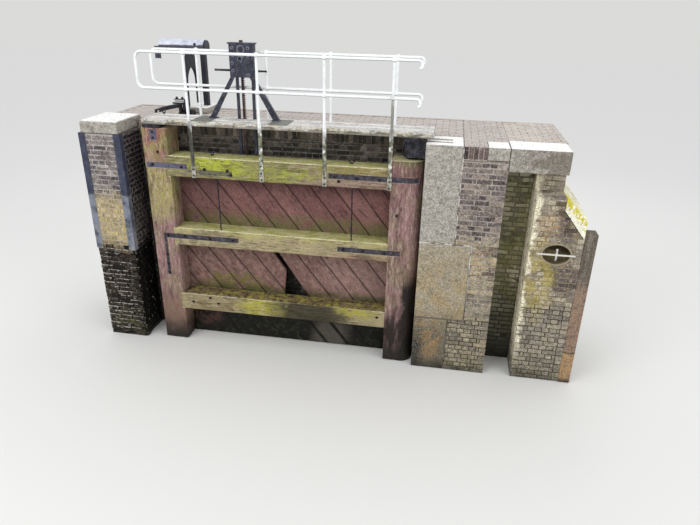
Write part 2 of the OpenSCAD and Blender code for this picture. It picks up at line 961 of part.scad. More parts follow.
module eye_bolt(x, y, z, r, bar) {
    translate([x, y, z]) {
        cylinder(r = 2.5 * bar, h = bar);
        cylinder(r = 1.3 * bar, h = 2.5 * bar);
        translate([0, 0, 2 * bar + r])
            rotate([90, 0, 0])
                rotate([0, 0, 90])
                    rotate_extrude()
                        translate([r, 0])
                            circle(r = bar, $fn = 24);
    }
}

module ring_bolts() {
    color("dimgray") {
        eye_bolt(-rod_inner - ring_in, face_y + rail_depth / 2, top_rail_z, ring_r, ring_bar);
        eye_bolt(-rod_outer - eye_in, face_y + rail_depth / 2, top_rail_z, ring_r / 2, ring_bar);
        eye_bolt(mitre_x + latch_in - latch_foot / 2, deck_y1 - ring_r, deck_z, ring_r / 2, ring_bar);
    }
}

module deck_bearers() {
    color("dimgray") {
        block(mitre_x + 20, mitre_x + 20 + mitre_bearer, face_y, back_y, mitre_top, stringer_under);
        intersection() {
            block(-neck_bearer, neck_bearer, face_y, back_y, mitre_top, stringer_under);
            cylinder(r = bearer_r, h = deck_z, $fn = 96);
        }
    }
}

module gear_slots() {
    for (slot = [[0, rack_w], [-guide_out, guide_w], [guide_in, guide_w]])
        block(rack_x + slot[0] - slot[1] / 2 - rack_gap, rack_x + slot[0] + slot[1] / 2 + rack_gap,
              slot_y0, slot_y1, stringer_under - eps, deck_z + eps);
}

module front_bars() {
    for (x = post_xs)
        block(x - bar_w / 2, x + bar_w / 2, face_y - bar_t, face_y, top_rail_z - top_rail_h,
              deck_z + bar_over);
}

module deck_stringers() {
    color("tan")
        difference() {
            for (y = [deck_y0, slot_y1])
                block(deck_x0, deck_over, y, y + stringer_w, stringer_under, deck_under);
            front_bars();
        }
}

module deck_planks() {
    color("wheat")
        difference() {
            union() {
                for (i = [0 : plank_n - 1])
                    block(deck_x0, deck_over, deck_y0 + i * (plank_w + plank_gap),
                          deck_y0 + i * (plank_w + plank_gap) + plank_w, deck_under, deck_z);
                block(deck_x0, deck_over, rack_y + plank_gap / 2, deck_y1, deck_under, deck_z);
            }
            gear_slots();
            front_bars();
        }
}

// A bend of the railing in an upright plane, from the angle start through sweep
module bend(x, y, z, r, start, sweep) {
    translate([x, y, z])
        rotate([90, 0, 0])
            rotate([0, 0, start])
                rotate_extrude(angle = sweep)
                    translate([r, 0])
                        circle(r = tube_r);
}

module hooked_rail(y, z) {
    shaft(loop_x + bend_r, rail_end_x, y, z, tube_r);
    bend(rail_end_x, y, z - hook_r, hook_r, 90, -hook_turn);
}

module rails(y) {
    color("white") {
        hooked_rail(y, hand_z);
        hooked_rail(y, knee_z);
        bend(loop_x + bend_r, y, hand_z - bend_r, bend_r, 90, 90);
        bend(loop_x + bend_r, y, knee_z + bend_r, bend_r, 180, 90);
        translate([loop_x, y, knee_z + bend_r])
            cylinder(r = tube_r, h = hand_z - knee_z - 2 * bend_r);
    }
}

module posts(y) {
    for (x = post_xs)
        difference() {
            union() {
                translate([x, y, deck_z])
                    cylinder(r = tube_r, h = hand_z - deck_z);
                for (z = [knee_z, hand_z])
                    translate([x, y, z])
                        sphere(r = ball_r);
            }
            for (z = [knee_z, hand_z])
                shaft(x - ball_r - eps, x + ball_r + eps, y, z, tube_r + seat_gap);
        }
}

module front_posts() {
    color("white") {
        posts(front_tube_y);
        front_bars();
    }
}

module front_rails() {
    rails(front_tube_y);
}

module back_posts() {
    color("white")
        posts(back_tube_y);
}

module back_rails() {
    rails(back_tube_y);
}

module gear_housing() {
    slot_w0 = rack_w / 2 + guide_gap;
    slot_t0 = rack_t / 2 + guide_gap;
    top = gear_z + gear_h;
    color("darkslategray")
        difference() {
            union() {
                block(-gear_x - gear_w / 2, -gear_x + gear_w / 2, gear_front, gear_front + gear_d,
                      gear_z, top);
                block(-gear_x - gear_w / 2 - lid_over, -gear_x + gear_w / 2 + lid_over,
                      gear_front - lid_over / 2, gear_front + gear_d, top - lid_t, top);
            }
            block(rack_x - slot_w0, rack_x + slot_w0, rack_y - slot_t0, rack_y + slot_t0,
                  gear_z - eps, top + eps);
            shaft(-gear_x - gear_w, -gear_x + gear_w, crank_y, crank_z, crank_r + pin_gap);
        }
}

module gear_cover() {
    hub_z = gear_z + gear_h - hub_drop;
    color("darkslategray") {
        for (disc = [[hub_r, hub_t], [hub_r / 2, 2 * hub_t]])
            translate([-gear_x, gear_front, hub_z])
                rotate([90, 0, 0])
                    cylinder(r = disc[0], h = disc[1]);
        translate([-gear_x + hub_r / 2, gear_front, hub_z - hub_r - 30])
            rotate([90, 20, 0]) {
                cylinder(r = pawl_w, h = hub_t);
                translate([-pawl_w / 2, -pawl_len, 0])
                    cube([pawl_w, pawl_len, hub_t]);
            }
    }
}

// Angle section legs from the housing's corners to their feet
module gear_legs() {
    top = gear_z;
    foot = deck_z + foot_plate_t + foot_t;
    top_out = gear_w / 2 - 1;
    foot_out = leg_reach + leg_w / 2;
    color("darkslategray")
        for (s = [-1, 1])
            translate([-gear_x, gear_front, 0]) {
                along_y(0, leg_side)
                    polygon([
                        [s * (top_out - 0.7 * leg_w), top], [s * top_out, top],
                        [s * foot_out, foot], [s * (foot_out - leg_w), foot]
                    ]);
                along_y(0, leg_d)
                    polygon([
                        [s * (top_out - leg_side), top], [s * top_out, top],
                        [s * foot_out, foot], [s * (foot_out - leg_side), foot]
                    ]);
                block(s * leg_reach - leg_w * 0.7, s * leg_reach + leg_w * 0.7, -leg_side,
                      leg_d + leg_side, foot - foot_t, foot);
            }
}

module gear_plates() {
    color("lightsteelblue")
        for (s = [-1, 1])
            block(-gear_x + s * plate_reach - plate_w / 2, -gear_x + s * plate_reach + plate_w / 2, deck_y0,
                  back_tube_y - tube_r - 10, deck_z, deck_z + foot_plate_t);
}

module gear_posts() {
    color("dimgray")
        for (x = [rack_x - guide_out, rack_x + guide_in])
            block(x - guide_w / 2, x + guide_w / 2, board_back, rack_y + rack_t / 2,
                  board_top - guide_foot, gear_z);
}

// The rack's teeth face the heel post, as far down as the top rail hides them
module paddle_rack() {
    x0 = rack_x - rack_w / 2;
    x1 = rack_x + rack_w / 2;
    z0 = top_rail_z;
    z1 = gear_z + gear_h;
    tooth_n = floor((z1 - z0) / tooth_pitch);
    color("dimgray")
        along_y(rack_y - rack_t / 2, rack_y + rack_t / 2)
            polygon(concat(
                [[x0, foot_gap], [x1, foot_gap]],
                [
                    for (i = [0 : tooth_n - 1], p = [[0, 0], [0.1, 1], [0.5, 1], [0.6, 0]])
                        [x1 - p[1] * tooth_h, z0 + (i + p[0]) * tooth_pitch]
                ],
                [[x1, z1 + rack_up], [x0, z1 + rack_up]]
            ));
}

module crank_shaft() {
    x1 = -gear_x + gear_w / 2 + crank_in;
    color("dimgray") {
        shaft(-gear_x - gear_w / 2 - crank_out, x1, crank_y, crank_z, crank_r);
        shaft(x1, x1 + crank_end, crank_y, crank_z, crank_end_r);
    }
}

left_pier();
left_capstone();
wall_irons();
recess_wall();
lower_quoin_stone();
middle_quoin_stone();
upper_quoin_stone();
brick_pier();
pier_block();
slot_wall();
lintel();
end_pier();
shoulder_stone();
fender_post();
neck_bearing();
pintle();
winch_base();
winch_trestle();
winch_column();
winch_hood();
leaf_latch();
mitre_post();
heel_post();
neck_pin();
top_rail();
upper_middle_rail();
lower_middle_rail();
planking();
leaf_straps();
tie_rods();
ring_bolts();
deck_bearers();
deck_stringers();
deck_planks();
front_posts();
front_rails();
back_posts();
back_rails();
gear_housing();
gear_cover();
gear_legs();
gear_plates();
gear_posts();
paddle_rack();
crank_shaft();
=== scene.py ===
import math
import random
from types import SimpleNamespace

import bmesh
import bpy
from mathutils import Matrix, Vector, noise


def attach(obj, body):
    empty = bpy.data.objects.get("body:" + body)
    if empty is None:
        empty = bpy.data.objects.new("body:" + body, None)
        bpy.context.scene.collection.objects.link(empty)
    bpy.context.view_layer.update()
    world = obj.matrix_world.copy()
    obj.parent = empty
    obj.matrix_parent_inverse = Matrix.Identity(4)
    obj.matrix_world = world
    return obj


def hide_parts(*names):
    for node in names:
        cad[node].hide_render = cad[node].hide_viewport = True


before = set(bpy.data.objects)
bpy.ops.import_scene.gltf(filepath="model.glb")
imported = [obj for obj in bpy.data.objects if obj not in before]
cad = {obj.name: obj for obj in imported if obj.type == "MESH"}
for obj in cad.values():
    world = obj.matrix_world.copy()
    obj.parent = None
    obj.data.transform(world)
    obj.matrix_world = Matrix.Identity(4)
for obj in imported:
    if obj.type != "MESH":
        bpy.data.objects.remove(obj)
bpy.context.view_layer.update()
print("frame loaded:", len(cad), "nodes")


# Node helpers, for shader trees and geometry trees alike
def put(tree, kind, inputs=None, **settings):
    node = tree.nodes.new(kind)
    for key, value in settings.items():
        setattr(node, key, value)
    for key, value in (inputs or {}).items():
        socket = node.inputs[key]
        if isinstance(value, bpy.types.NodeSocket):
            tree.links.new(value, socket)
        else:
            socket.default_value = value
    return node


def calc(tree, operation, first, second=0.0):
    node = put(tree, "ShaderNodeMath", {0: first, 1: second}, operation=operation)
    return node.outputs[0]


def vectorCalc(tree, operation, first, second=(0.0, 0.0, 0.0)):
    node = put(tree, "ShaderNodeVectorMath", {0: first, 1: second}, operation=operation)
    return node.outputs[1 if operation in ("LENGTH", "DISTANCE", "DOT_PRODUCT") else 0]


def remap(tree, value, low, high, toLow=0.0, toHigh=1.0):
    node = put(tree, "ShaderNodeMapRange", {0: value, 1: low, 2: high, 3: toLow, 4: toHigh}, clamp=True)
    return node.outputs[0]


def linear(color):  # screen values from 0 to 255 to Blender's linear colour
    parts = [c / 255 for c in color]
    return tuple(c / 12.92 if c <= 0.04045 else ((c + 0.055) / 1.055) ** 2.4 for c in parts) + (1.0,)


def blend(tree, factor, first, second, kind="MIX"):
    node = put(tree, "ShaderNodeMix", {0: factor, 6: first, 7: second}, data_type="RGBA", blend_type=kind)
    return node.outputs[2]


def ownTone(tree):
    return put(tree, "ShaderNodeAttribute", attribute_name="tone").outputs["Fac"]


def grainAt(tree, place, scale, stretch=(1, 1, 1), turn=0.0, output=0):
    if turn:
        place = put(tree, "ShaderNodeMapping", {"Vector": place, "Rotation": (0, turn, 0)}).outputs[0]
    if tuple(stretch) != (1, 1, 1):
        place = put(tree, "ShaderNodeMapping", {"Vector": place, "Scale": stretch}).outputs[0]
    node = put(tree, "ShaderNodeTexNoise", {"Vector": place, "Scale": scale, "Detail": 4.0, "Roughness": 0.6})
    return node.outputs[output]


def ramp(tree, factor, stops):
    node = put(tree, "ShaderNodeValToRGB", {0: factor})
    points = node.color_ramp.elements
    while len(points) < len(stops):
        points.new(0.5)
    for point, (position, color) in zip(points, stops.items()):
        point.position = position
        point.color = linear(color)
    return node.outputs[0]


def partOf(tree, vector, axis):
    return put(tree, "ShaderNodeSeparateXYZ", {0: vector}).outputs["XYZ".index(axis)]


# Rules for where a layer shows. Each gives a function that makes a mask from 0 to 1.
def grain(scale, low, high, stretch=(1, 1, 1)):
    return lambda at: remap(at.tree, grainAt(at.tree, at.place, scale, stretch, at.turn), low, high)


def tone(low, high):
    return lambda at: remap(at.tree, ownTone(at.tree), low, high)


def facing(axis, low, high):
    def mask(at):
        normal = put(at.tree, "ShaderNodeNewGeometry").outputs["Normal"]
        return remap(at.tree, partOf(at.tree, normal, axis), low, high)
    return mask


def along(axis, zero, one):
    return lambda at: remap(at.tree, partOf(at.tree, at.loose, axis), zero, one)


def spot(middle, radii):
    def mask(at):
        away = vectorCalc(at.tree, "SUBTRACT", at.loose, middle)
        away = vectorCalc(at.tree, "LENGTH", vectorCalc(at.tree, "DIVIDE", away, radii))
        return remap(at.tree, away, 1.0, 0.55)
    return mask


def seam(direction, offset, pitch, zero, one):
    def mask(at):
        across = calc(at.tree, "ADD", vectorCalc(at.tree, "DOT_PRODUCT", at.place, direction), offset)
        away = calc(at.tree, "FRACT", calc(at.tree, "ADD", calc(at.tree, "DIVIDE", across, pitch), 0.5))
        away = calc(at.tree, "ABSOLUTE", calc(at.tree, "SUBTRACT", away, 0.5))
        return remap(at.tree, calc(at.tree, "MULTIPLY", away, pitch), zero, one)
    return mask


def coat(color, amount, *rules, rough=None, mix="MIX"):  # covers what is under it where all its rules hold
    return {"color": color, "amount": amount, "rules": rules, "rough": rough, "mix": mix}


def stain(color, *rules, rough=None):  # darkens what is under it
    return coat(color, 1.0, *rules, rough=rough, mix="MULTIPLY")


def weathered(name, settings):
    finish = bpy.data.materials.new(name)
    finish.use_nodes = True
    tree = finish.node_tree
    tree.nodes.clear()
    place = put(tree, "ShaderNodeTexCoord").outputs["Object"]
    drift = grainAt(tree, place, 4.0, output=1)
    drift = vectorCalc(tree, "SUBTRACT", drift, (0.5, 0.5, 0.5))
    loose = vectorCalc(tree, "MULTIPLY", drift, (settings["drift"],) * 3)
    turn = settings.get("turn", 0.0)
    stretch = settings.get("stretch", (1, 1, 1))
    at = SimpleNamespace(tree=tree, place=place, loose=vectorCalc(tree, "ADD", place, loose), turn=turn)
    if settings.get("perPiece"):
        fine = remap(tree, grainAt(tree, place, settings["scale"]), 0.3, 0.7, -0.22, 0.22)
        factor = calc(tree, "ADD", ownTone(tree), fine)
    else:
        wide = grainAt(tree, place, settings["scale"], stretch, turn)
        fine = grainAt(tree, place, settings["scale"] * 6, stretch, turn)
        factor = calc(tree, "ADD", calc(tree, "MULTIPLY", wide, 0.6), calc(tree, "MULTIPLY", fine, 0.4))
        factor = remap(tree, factor, 0.32, 0.68)
    color = ramp(tree, factor, settings["tones"])
    rough = calc(tree, "ADD", settings["roughness"], remap(tree, fine, 0.3, 0.7, -0.08, 0.08))
    for layer in settings.get("layers", []):
        mask = layer["amount"]
        for rule in layer["rules"]:
            mask = calc(tree, "MULTIPLY", rule(at), mask)
        color = blend(tree, mask, color, linear(layer["color"]), layer["mix"])
        if layer["rough"] is not None:
            step = calc(tree, "SUBTRACT", layer["rough"], rough)
            rough = calc(tree, "ADD", rough, calc(tree, "MULTIPLY", step, mask))
    gritScale, gritAmount = settings.get("grit", (60, 0.2))
    specks = {"Vector": place, "Scale": gritScale, "Detail": 3.0, "Roughness": 0.8}
    grit = put(tree, "ShaderNodeTexNoise", specks)
    grit = remap(tree, grit.outputs[0], 0.36, 0.62, 1 - gritAmount, 1 + gritAmount * 0.6)
    color = put(tree, "ShaderNodeVectorMath", {0: color, "Scale": grit}, operation="SCALE").outputs[0]
    height = None
    for scale, size, *stretched in settings["bumps"]:  # noise scale, height in metres and any stretch
        step = calc(tree, "MULTIPLY", grainAt(tree, place, scale, *stretched, turn=turn), size)
        height = step if height is None else calc(tree, "ADD", height, step)
    bump = put(tree, "ShaderNodeBump", {"Strength": 1.0, "Distance": 1.0, "Height": height})
    shader = put(tree, "ShaderNodeBsdfPrincipled",
                 {"Base Color": color, "Roughness": rough, "Normal": bump.outputs[0],
                  "Metallic": settings.get("metallic", 0.0), "Specular IOR Level": 0.22})
    put(tree, "ShaderNodeOutputMaterial", {"Surface": shader.outputs[0]})
    return finish


# Finishes. Colours are screen values, lengths are metres, z is the height over the water line.
onTop = facing("Z", 0.5, 0.9)
onFront = facing("Y", -0.3, -0.7)
middlePier = (along("X", 0.4, 0.6), along("X", 1.7, 1.5))
leftSide = along("X", -4.0, -4.2)
endSide = along("X", 1.7, 1.8)


def wet(amount, dryHeight, wetHeight, rough):
    return coat((38, 36, 31), amount, along("Z", dryHeight, wetHeight), rough=rough)


def leafLayers(stretch):
    return [
        coat((136, 130, 92), 0.4, grain(3.2, 0.46, 0.60)),
        coat((58, 46, 38), 0.55, grain(8, 0.55, 0.66, stretch)),
        coat((58, 46, 38), 0.5, grain(30, 0.54, 0.62, stretch)),
        coat((222, 206, 186), 0.26, grain(26, 0.55, 0.64, stretch)),
        # painted highlight: pale cream on the bevelled top-front arris of each timber
        coat((232, 224, 196), 0.75, facing("Z", 0.2, 0.45), facing("Y", -0.25, -0.5), grain(6, 0.34, 0.44)),
    ]


boardTurn = math.radians(-52)
boardSeam = ((math.sin(math.radians(52)), 0.0, math.cos(math.radians(52))), 2.8617, 0.308)
brickBumps = [(60, 0.0016), (240, 0.0006)]
wetFoot = wet(0.95, 0.45, 0.05, 0.5)
quayTop = coat((206, 196, 189), 0.82, onTop, along("Z", 3.2, 3.4))
quayMortar = coat((138, 129, 122), 0.8, onTop)
paleArris = coat((238, 230, 202), 0.94, along("X", 1.91, 1.86), endSide, along("Z", 0.3, 0.7),
                 grain(14, 0.34, 0.48))
wallBack = coat((86, 82, 77), 0.95, facing("Y", 0.4, 0.7))
pierLichen = coat((174, 158, 76), 0.6, spot((2.05, -0.3, 1.75), (0.26, 0.3, 0.85)), grain(5, 0.36, 0.54))
pierRust = coat((182, 140, 88), 0.5, spot((2.04, -0.3, 2.62), (0.2, 0.3, 0.26)), grain(9, 0.36, 0.52))
finishes = {
    "pier brick": {
        "perPiece": True, "scale": 26, "roughness": 0.86, "drift": 0.35, "grit": (46, 0.5),
        "tones": {0: (100, 94, 98), 0.25: (154, 146, 146), 0.5: (186, 178, 169), 0.8: (218, 208, 192),
                  1: (150, 138, 143)},
        "layers": [
            # brick pier: purple-grey above, tan below
            stain((186, 178, 178), *middlePier, along("Z", 2.15, 2.5)),
            stain((190, 176, 184), *middlePier, along("Z", 3.5, 3.56)),
            stain((222, 214, 188), *middlePier, along("Z", 2.6, 2.2)),
            coat((172, 134, 86), 0.3, spot((1.2, -0.3, 2.0), (0.22, 0.3, 0.35)), grain(8, 0.46, 0.58)),
            # end pier
            stain((234, 230, 218), endSide),
            pierRust,
            coat((168, 158, 138), 0.35, endSide, along("Z", 1.2, 1.6)),
            coat((140, 132, 116), 0.55, along("X", 0.4, 0.6), along("Z", 1.6, 1.2)),
            stain((162, 148, 160), spot((2.38, -0.3, 2.75), (0.26, 0.4, 0.42))),
            stain((158, 152, 160), spot((2.42, -0.3, 1.8), (0.3, 0.4, 0.3))),
            pierLichen,
            paleArris,
            # left pier
            stain((172, 168, 174), leftSide, along("Z", 2.4, 2.7)),
            stain((238, 224, 186), leftSide, along("Z", 2.8, 2.5), facing("Y", -0.4, -0.7)),
            coat((196, 180, 142), 0.45, leftSide, along("Z", 2.75, 2.5), along("Z", 1.7, 1.8),
                 facing("Y", -0.4, -0.7)),
            coat((200, 178, 92), 0.5, spot((-4.75, -0.3, 2.15), (0.4, 0.3, 0.45)), grain(9, 0.44, 0.58)),
            stain((66, 60, 60), leftSide, along("Z", 1.9, 1.6), rough=0.6),
            stain((84, 83, 90), leftSide, facing("X", 0.4, 0.7)),
            # painted highlight: pale on the upward faces of the eroded lower bricks
            coat((196, 190, 180), 0.85, leftSide, along("Z", 1.9, 1.7), facing("Z", 0.3, 0.6),
                 grain(12, 0.32, 0.44)),
            # mould and wet foot
            coat((96, 100, 58), 0.5, along("Z", 0.6, 0.2), grain(6, 0.44, 0.6)),
            coat((60, 56, 52), 0.5, grain(22, 0.57, 0.66)),
            coat((236, 230, 216), 0.35, grain(30, 0.58, 0.66)),
            coat((14, 14, 14), 0.96, along("X", -4.75, -4.62), along("X", -4.0, -4.2),
                 along("Z", 1.85, 1.6), facing("Y", -0.75, -0.4)),
            quayTop,
            wet(0.8, 0.16, 0.0, 0.3),
        ],
        "bumps": brickBumps,
    },
    "wall brick": {
        "perPiece": True, "scale": 26, "roughness": 0.8, "drift": 0.6, "grit": (70, 0.3),
        "tones": {0: (50, 46, 44), 0.4: (86, 77, 71), 0.75: (122, 110, 101), 1: (160, 146, 134)},
        "layers": [
            coat((66, 68, 44), 0.4, onFront, grain(3, 0.42, 0.6)),
            # painted shade of the recess under the deck and behind the leaf: near black on front faces below z
            # 3.2, fading out by 3.55, with lower roughness
            coat((18, 18, 17), 0.9, onFront, along("Z", 3.55, 3.2), grain(2.2, 0.3, 0.5), rough=0.35),
            quayTop,
            wet(0.9, 0.6, 0.1, 0.3),
        ],
        "bumps": brickBumps,
    },
    "slot brick": {
        "perPiece": True, "scale": 26, "roughness": 0.75, "drift": 0.5, "grit": (60, 0.3),
        "tones": {0: (116, 112, 96), 0.5: (156, 152, 126), 1: (192, 186, 160)},
        "layers": [
            coat((128, 128, 62), 0.65, onFront, along("Z", 3.3, 2.9), grain(3.5, 0.4, 0.56)),
            coat((58, 56, 44), 0.6, onFront, grain(2.6, 0.52, 0.64, (1, 1, 1.6))),
            coat((74, 72, 60), 0.8, onFront, along("Z", 1.5, 0.8), rough=0.4),
            quayTop,
            wet(0.9, 0.6, 0.1, 0.3),
        ],
        "bumps": brickBumps,
    },
    "mortar": {
        "scale": 18, "roughness": 0.95, "drift": 0.6,
        "tones": {0: (124, 120, 113), 0.5: (174, 169, 160), 1: (212, 206, 196)},
        "layers": [
            coat((92, 84, 76), 0.7, grain(5, 0.52, 0.62)),
            stain((204, 192, 168), endSide),
            stain((236, 230, 226), *middlePier),
            pierRust,
            pierLichen,
            coat((180, 168, 134), 0.75, leftSide, along("Z", 2.75, 2.5), facing("Y", -0.4, -0.7)),
            paleArris,
            stain((244, 242, 248), leftSide),
            stain((168, 166, 174), leftSide, facing("X", 0.4, 0.7)),
            wallBack,
            quayMortar,
        ],
        "bumps": [(120, 0.003)],
    },
    "dark mortar": {
        "scale": 18, "roughness": 0.95, "drift": 0.5,
        "tones": {0: (44, 42, 40), 0.5: (98, 94, 87), 1: (170, 164, 154)},
        "layers": [
            # painted shade of the recess behind the leaf: patchy near black below z 2.6, fading out by 3.0
            coat((22, 22, 20), 0.85, along("Z", 3.0, 2.6), grain(3, 0.35, 0.5)),
            wallBack,
            quayMortar,
            wet(0.9, 0.5, 0.05, 0.4),
        ],
        "bumps": [(120, 0.003)],
    },
    "slot mortar": {
        "scale": 18, "roughness": 0.9, "drift": 0.5,
        "tones": {0: (74, 72, 56), 0.5: (106, 102, 80), 1: (138, 134, 108)},
        "layers": [
            coat((44, 43, 36), 0.85, along("Z", 1.6, 1.0)),
            wallBack,
            quayMortar,
            wet(0.9, 0.5, 0.05, 0.4),
        ],
        "bumps": [(120, 0.003)],
    },
    "eroded mortar": {
        "scale": 24, "roughness": 0.8, "drift": 0.3,
        "tones": {0: (34, 31, 26), 0.6: (70, 64, 52), 1: (116, 107, 88)},
        "layers": [
            coat((20, 20, 19), 0.92, leftSide),
        ],
        "bumps": [(90, 0.004)],
    },
    "pale mortar": {
        "scale": 30, "roughness": 0.95, "drift": 0.4,
        "tones": {0: (150, 146, 138), 0.4: (204, 199, 190), 1: (236, 232, 224)},
        "layers": [
            coat((74, 68, 58), 0.85, grain(6, 0.51, 0.6)),
            coat((150, 136, 106), 0.85, endSide),
            coat((58, 54, 44), 0.8, along("X", 1.5, 1.3), along("Z", 1.9, 1.3)),
        ],
        "bumps": [(160, 0.002)],
    },
    "niche lining": {
        "scale": 22, "roughness": 0.9, "drift": 0.3,
        "tones": {0: (66, 57, 40), 0.5: (104, 92, 66), 1: (140, 126, 94)},
        "layers": [
            # painted shade under the niche's top edge: the upper half is darker
            coat((34, 29, 21), 0.8, along("Z", 2.17, 2.25)),
        ],
        "bumps": [(60, 0.004)],
    },
    "granite": {
        "scale": 16, "roughness": 0.82, "drift": 0.4, "grit": (46, 0.42),
        "tones": {0: (134, 128, 119), 0.35: (160, 155, 146), 0.65: (176, 171, 162), 1: (196, 191, 181)},
        "layers": [
            coat((158, 142, 108), 0.6, along("Z", 2.3, 2.15), along("X", -2, -1)),
            coat((162, 134, 78), 0.5, along("Z", 2.2, 1.5), grain(3.5, 0.42, 0.58), along("X", -2, -1)),
            coat((112, 118, 52), 0.75, spot((0.06, -0.3, 1.05), (0.16, 0.3, 0.45)), grain(6, 0.36, 0.5)),
            # painted highlight: pale band along the hollow quoin's left edge, above z 1.2-1.6
            coat((206, 198, 168), 0.6, along("X", 0.06, 0.02), along("Z", 1.2, 1.6),
                 along("X", -0.5, -0.3)),
            coat((92, 84, 66), 0.85, along("Z", 1.15, 0.7), along("X", -2, -1)),
            coat((164, 124, 72), 0.6, spot((0.46, -0.3, 0.6), (0.24, 0.3, 0.5)), grain(9, 0.4, 0.54)),
            coat((34, 32, 28), 0.9, spot((0.14, -0.3, 0.22), (0.34, 0.5, 0.72)), grain(8, 0.28, 0.44)),
            coat((84, 79, 72), 0.45, grain(80, 0.54, 0.6)),
            coat((232, 228, 214), 0.36, grain(84, 0.55, 0.61)),
            coat((90, 84, 76), 0.4, grain(9, 0.58, 0.68)),
            coat((108, 100, 88), 0.7, along("X", 1.4, 1.6), grain(5, 0.38, 0.56)),
            # painted highlight: upward faces near white, as if lit from above
            coat((255, 253, 250), 0.94, facing("Z", 0.6, 0.9), grain(22, 0.12, 0.42)),
            wet(0.92, 0.25, 0.0, 0.3),
        ],
        "bumps": [(16, 0.006), (70, 0.0025), (260, 0.0006)],
    },
    "coping stone": {
        "scale": 12, "roughness": 0.85, "drift": 0.3, "grit": (46, 0.3),
        "tones": {0: (214, 211, 190), 0.5: (243, 240, 220), 1: (252, 250, 236)},
        "layers": [
            coat((210, 194, 40), 0.92, seam((0.783, 0.0, 0.622), -3.683, 4.0, 0.07, 0.03),
                 along("Y", 0.5, 0.1), grain(20, 0.47, 0.53)),
            coat((210, 194, 40), 0.92, spot((2.27, -0.3, 3.03), (0.14, 0.4, 0.15)),
                 grain(16, 0.38, 0.48)),
            coat((170, 160, 110), 0.5, along("Y", 0.1, 0.5), grain(9, 0.44, 0.56)),
            coat((112, 106, 88), 0.5, grain(15, 0.62, 0.72)),
        ],
        "bumps": [(20, 0.006), (110, 0.0015)],
    },
    "leaf rail": {
        "scale": 3.2, "stretch": (0.5, 2.2, 2.2), "roughness": 0.78, "drift": 0.35, "grit": (60, 0.36),
        "tones": {0: (94, 71, 66), 0.35: (132, 105, 98), 0.7: (154, 128, 118), 1: (180, 156, 145)},
        "layers": [
            # top rail
            coat((134, 133, 76), 0.8, along("Z", 2.7, 2.9), along("X", -1.5, -1.9)),
            coat((176, 184, 58), 0.85, spot((-2.98, -0.2, 3.2), (0.58, 0.3, 0.2)), grain(16, 0.36, 0.48)),
            coat((160, 168, 66), 0.75, spot((-2.0, -0.2, 3.12), (0.9, 0.3, 0.17)), grain(12, 0.42, 0.54)),
            coat((146, 138, 78), 0.75, along("Z", 3.1, 3.2), along("X", -1.7, -1.4)),
            coat((118, 106, 98), 0.7, spot((-3.3, -0.2, 3.05), (0.5, 0.3, 0.08))),
            # middle rails
            coat((176, 165, 124), 0.78, along("Z", 2.5, 2.2), grain(4, 0.24, 0.42)),
            coat((182, 176, 106), 0.6, along("Z", 2.02, 2.1), along("Z", 2.5, 2.2), grain(6, 0.36, 0.5)),
            coat((112, 102, 84), 0.55, spot((-3.2, -0.2, 1.95), (0.6, 0.3, 0.25)), grain(9, 0.38, 0.52)),
            coat((156, 116, 104), 0.6, spot((-0.7, -0.2, 1.84), (0.7, 0.3, 0.09))),
            coat((116, 90, 70), 0.6, spot((-3.2, -0.2, 0.8), (0.6, 0.3, 0.3)), grain(7, 0.4, 0.5)),
            coat((170, 164, 60), 0.85, spot((-2.36, -0.2, 0.82), (0.56, 0.35, 0.24)),
                 grain(14, 0.36, 0.48)),
            *leafLayers((0.25, 1.4, 1.4)),
            coat((22, 21, 16), 0.84, spot((-1.52, -0.2, 0.7), (0.82, 0.3, 0.55)), grain(10, 0.22, 0.36),
                 rough=0.6),
            coat((168, 160, 66), 0.75, spot((-0.72, -0.2, 0.86), (0.42, 0.35, 0.14)),
                 grain(14, 0.4, 0.5)),
            coat((204, 199, 148), 0.85, onTop, along("Z", 1.2, 1.5)),
            coat((164, 164, 84), 0.8, onTop, along("Z", 1.2, 1.5), grain(12, 0.46, 0.56, (0.5, 1, 1))),
            coat((120, 104, 74), 0.75, onTop, along("Z", 1.5, 1.2)),
            coat((166, 156, 78), 0.8, onTop, along("Z", 1.5, 1.2), grain(9, 0.48, 0.56)),
            coat((62, 50, 38), 0.8, onTop, along("Z", 1.5, 1.2), grain(14, 0.5, 0.6)),
            wetFoot,
        ],
        "bumps": [(26, 0.0016, (0.3, 3, 3)), (90, 0.0007, (0.3, 3, 3))],
    },
    "leaf post": {
        "scale": 3.2, "stretch": (2.2, 2.2, 0.5), "roughness": 0.78, "drift": 0.35, "grit": (60, 0.36),
        "tones": {0: (100, 72, 72), 0.35: (136, 104, 103), 0.7: (158, 125, 123), 1: (182, 154, 149)},
        "layers": [
            coat((164, 160, 92), 0.8, spot((-4.0, -0.2, 2.75), (0.5, 0.4, 0.62)), grain(24, 0.3, 0.54)),
            coat((168, 112, 88), 0.4, along("X", -3.5, -3.7), along("Z", 3.2, 3.4)),
            coat((150, 148, 84), 0.6, along("X", -3.5, -3.7), along("Z", 3.2, 3.4), grain(7, 0.5, 0.6)),
            coat((124, 122, 76), 0.6, along("X", -3.8, -3.78), along("X", -3.5, -3.7),
                 along("Z", 2.6, 2.9)),
            coat((108, 76, 72), 0.5, along("X", -1.5, -1.0), along("Z", 3.0, 3.2)),
            coat((96, 94, 60), 0.85, spot((0.0, -0.05, 3.46), (0.4, 0.35, 0.17)), grain(9, 0.3, 0.44)),
            *leafLayers((1.4, 1.4, 0.25)),
            coat((206, 200, 156), 0.7, onTop),
            coat((26, 23, 21), 0.96, along("X", -0.06, 0.04), along("Z", 1.7, 1.35), rough=0.35),
            coat((52, 42, 36), 0.75, along("Z", 1.0, 0.5), rough=0.5),
            coat((150, 120, 104), 0.55, along("X", -3.5, -3.7), along("Z", 1.0, 0.7),
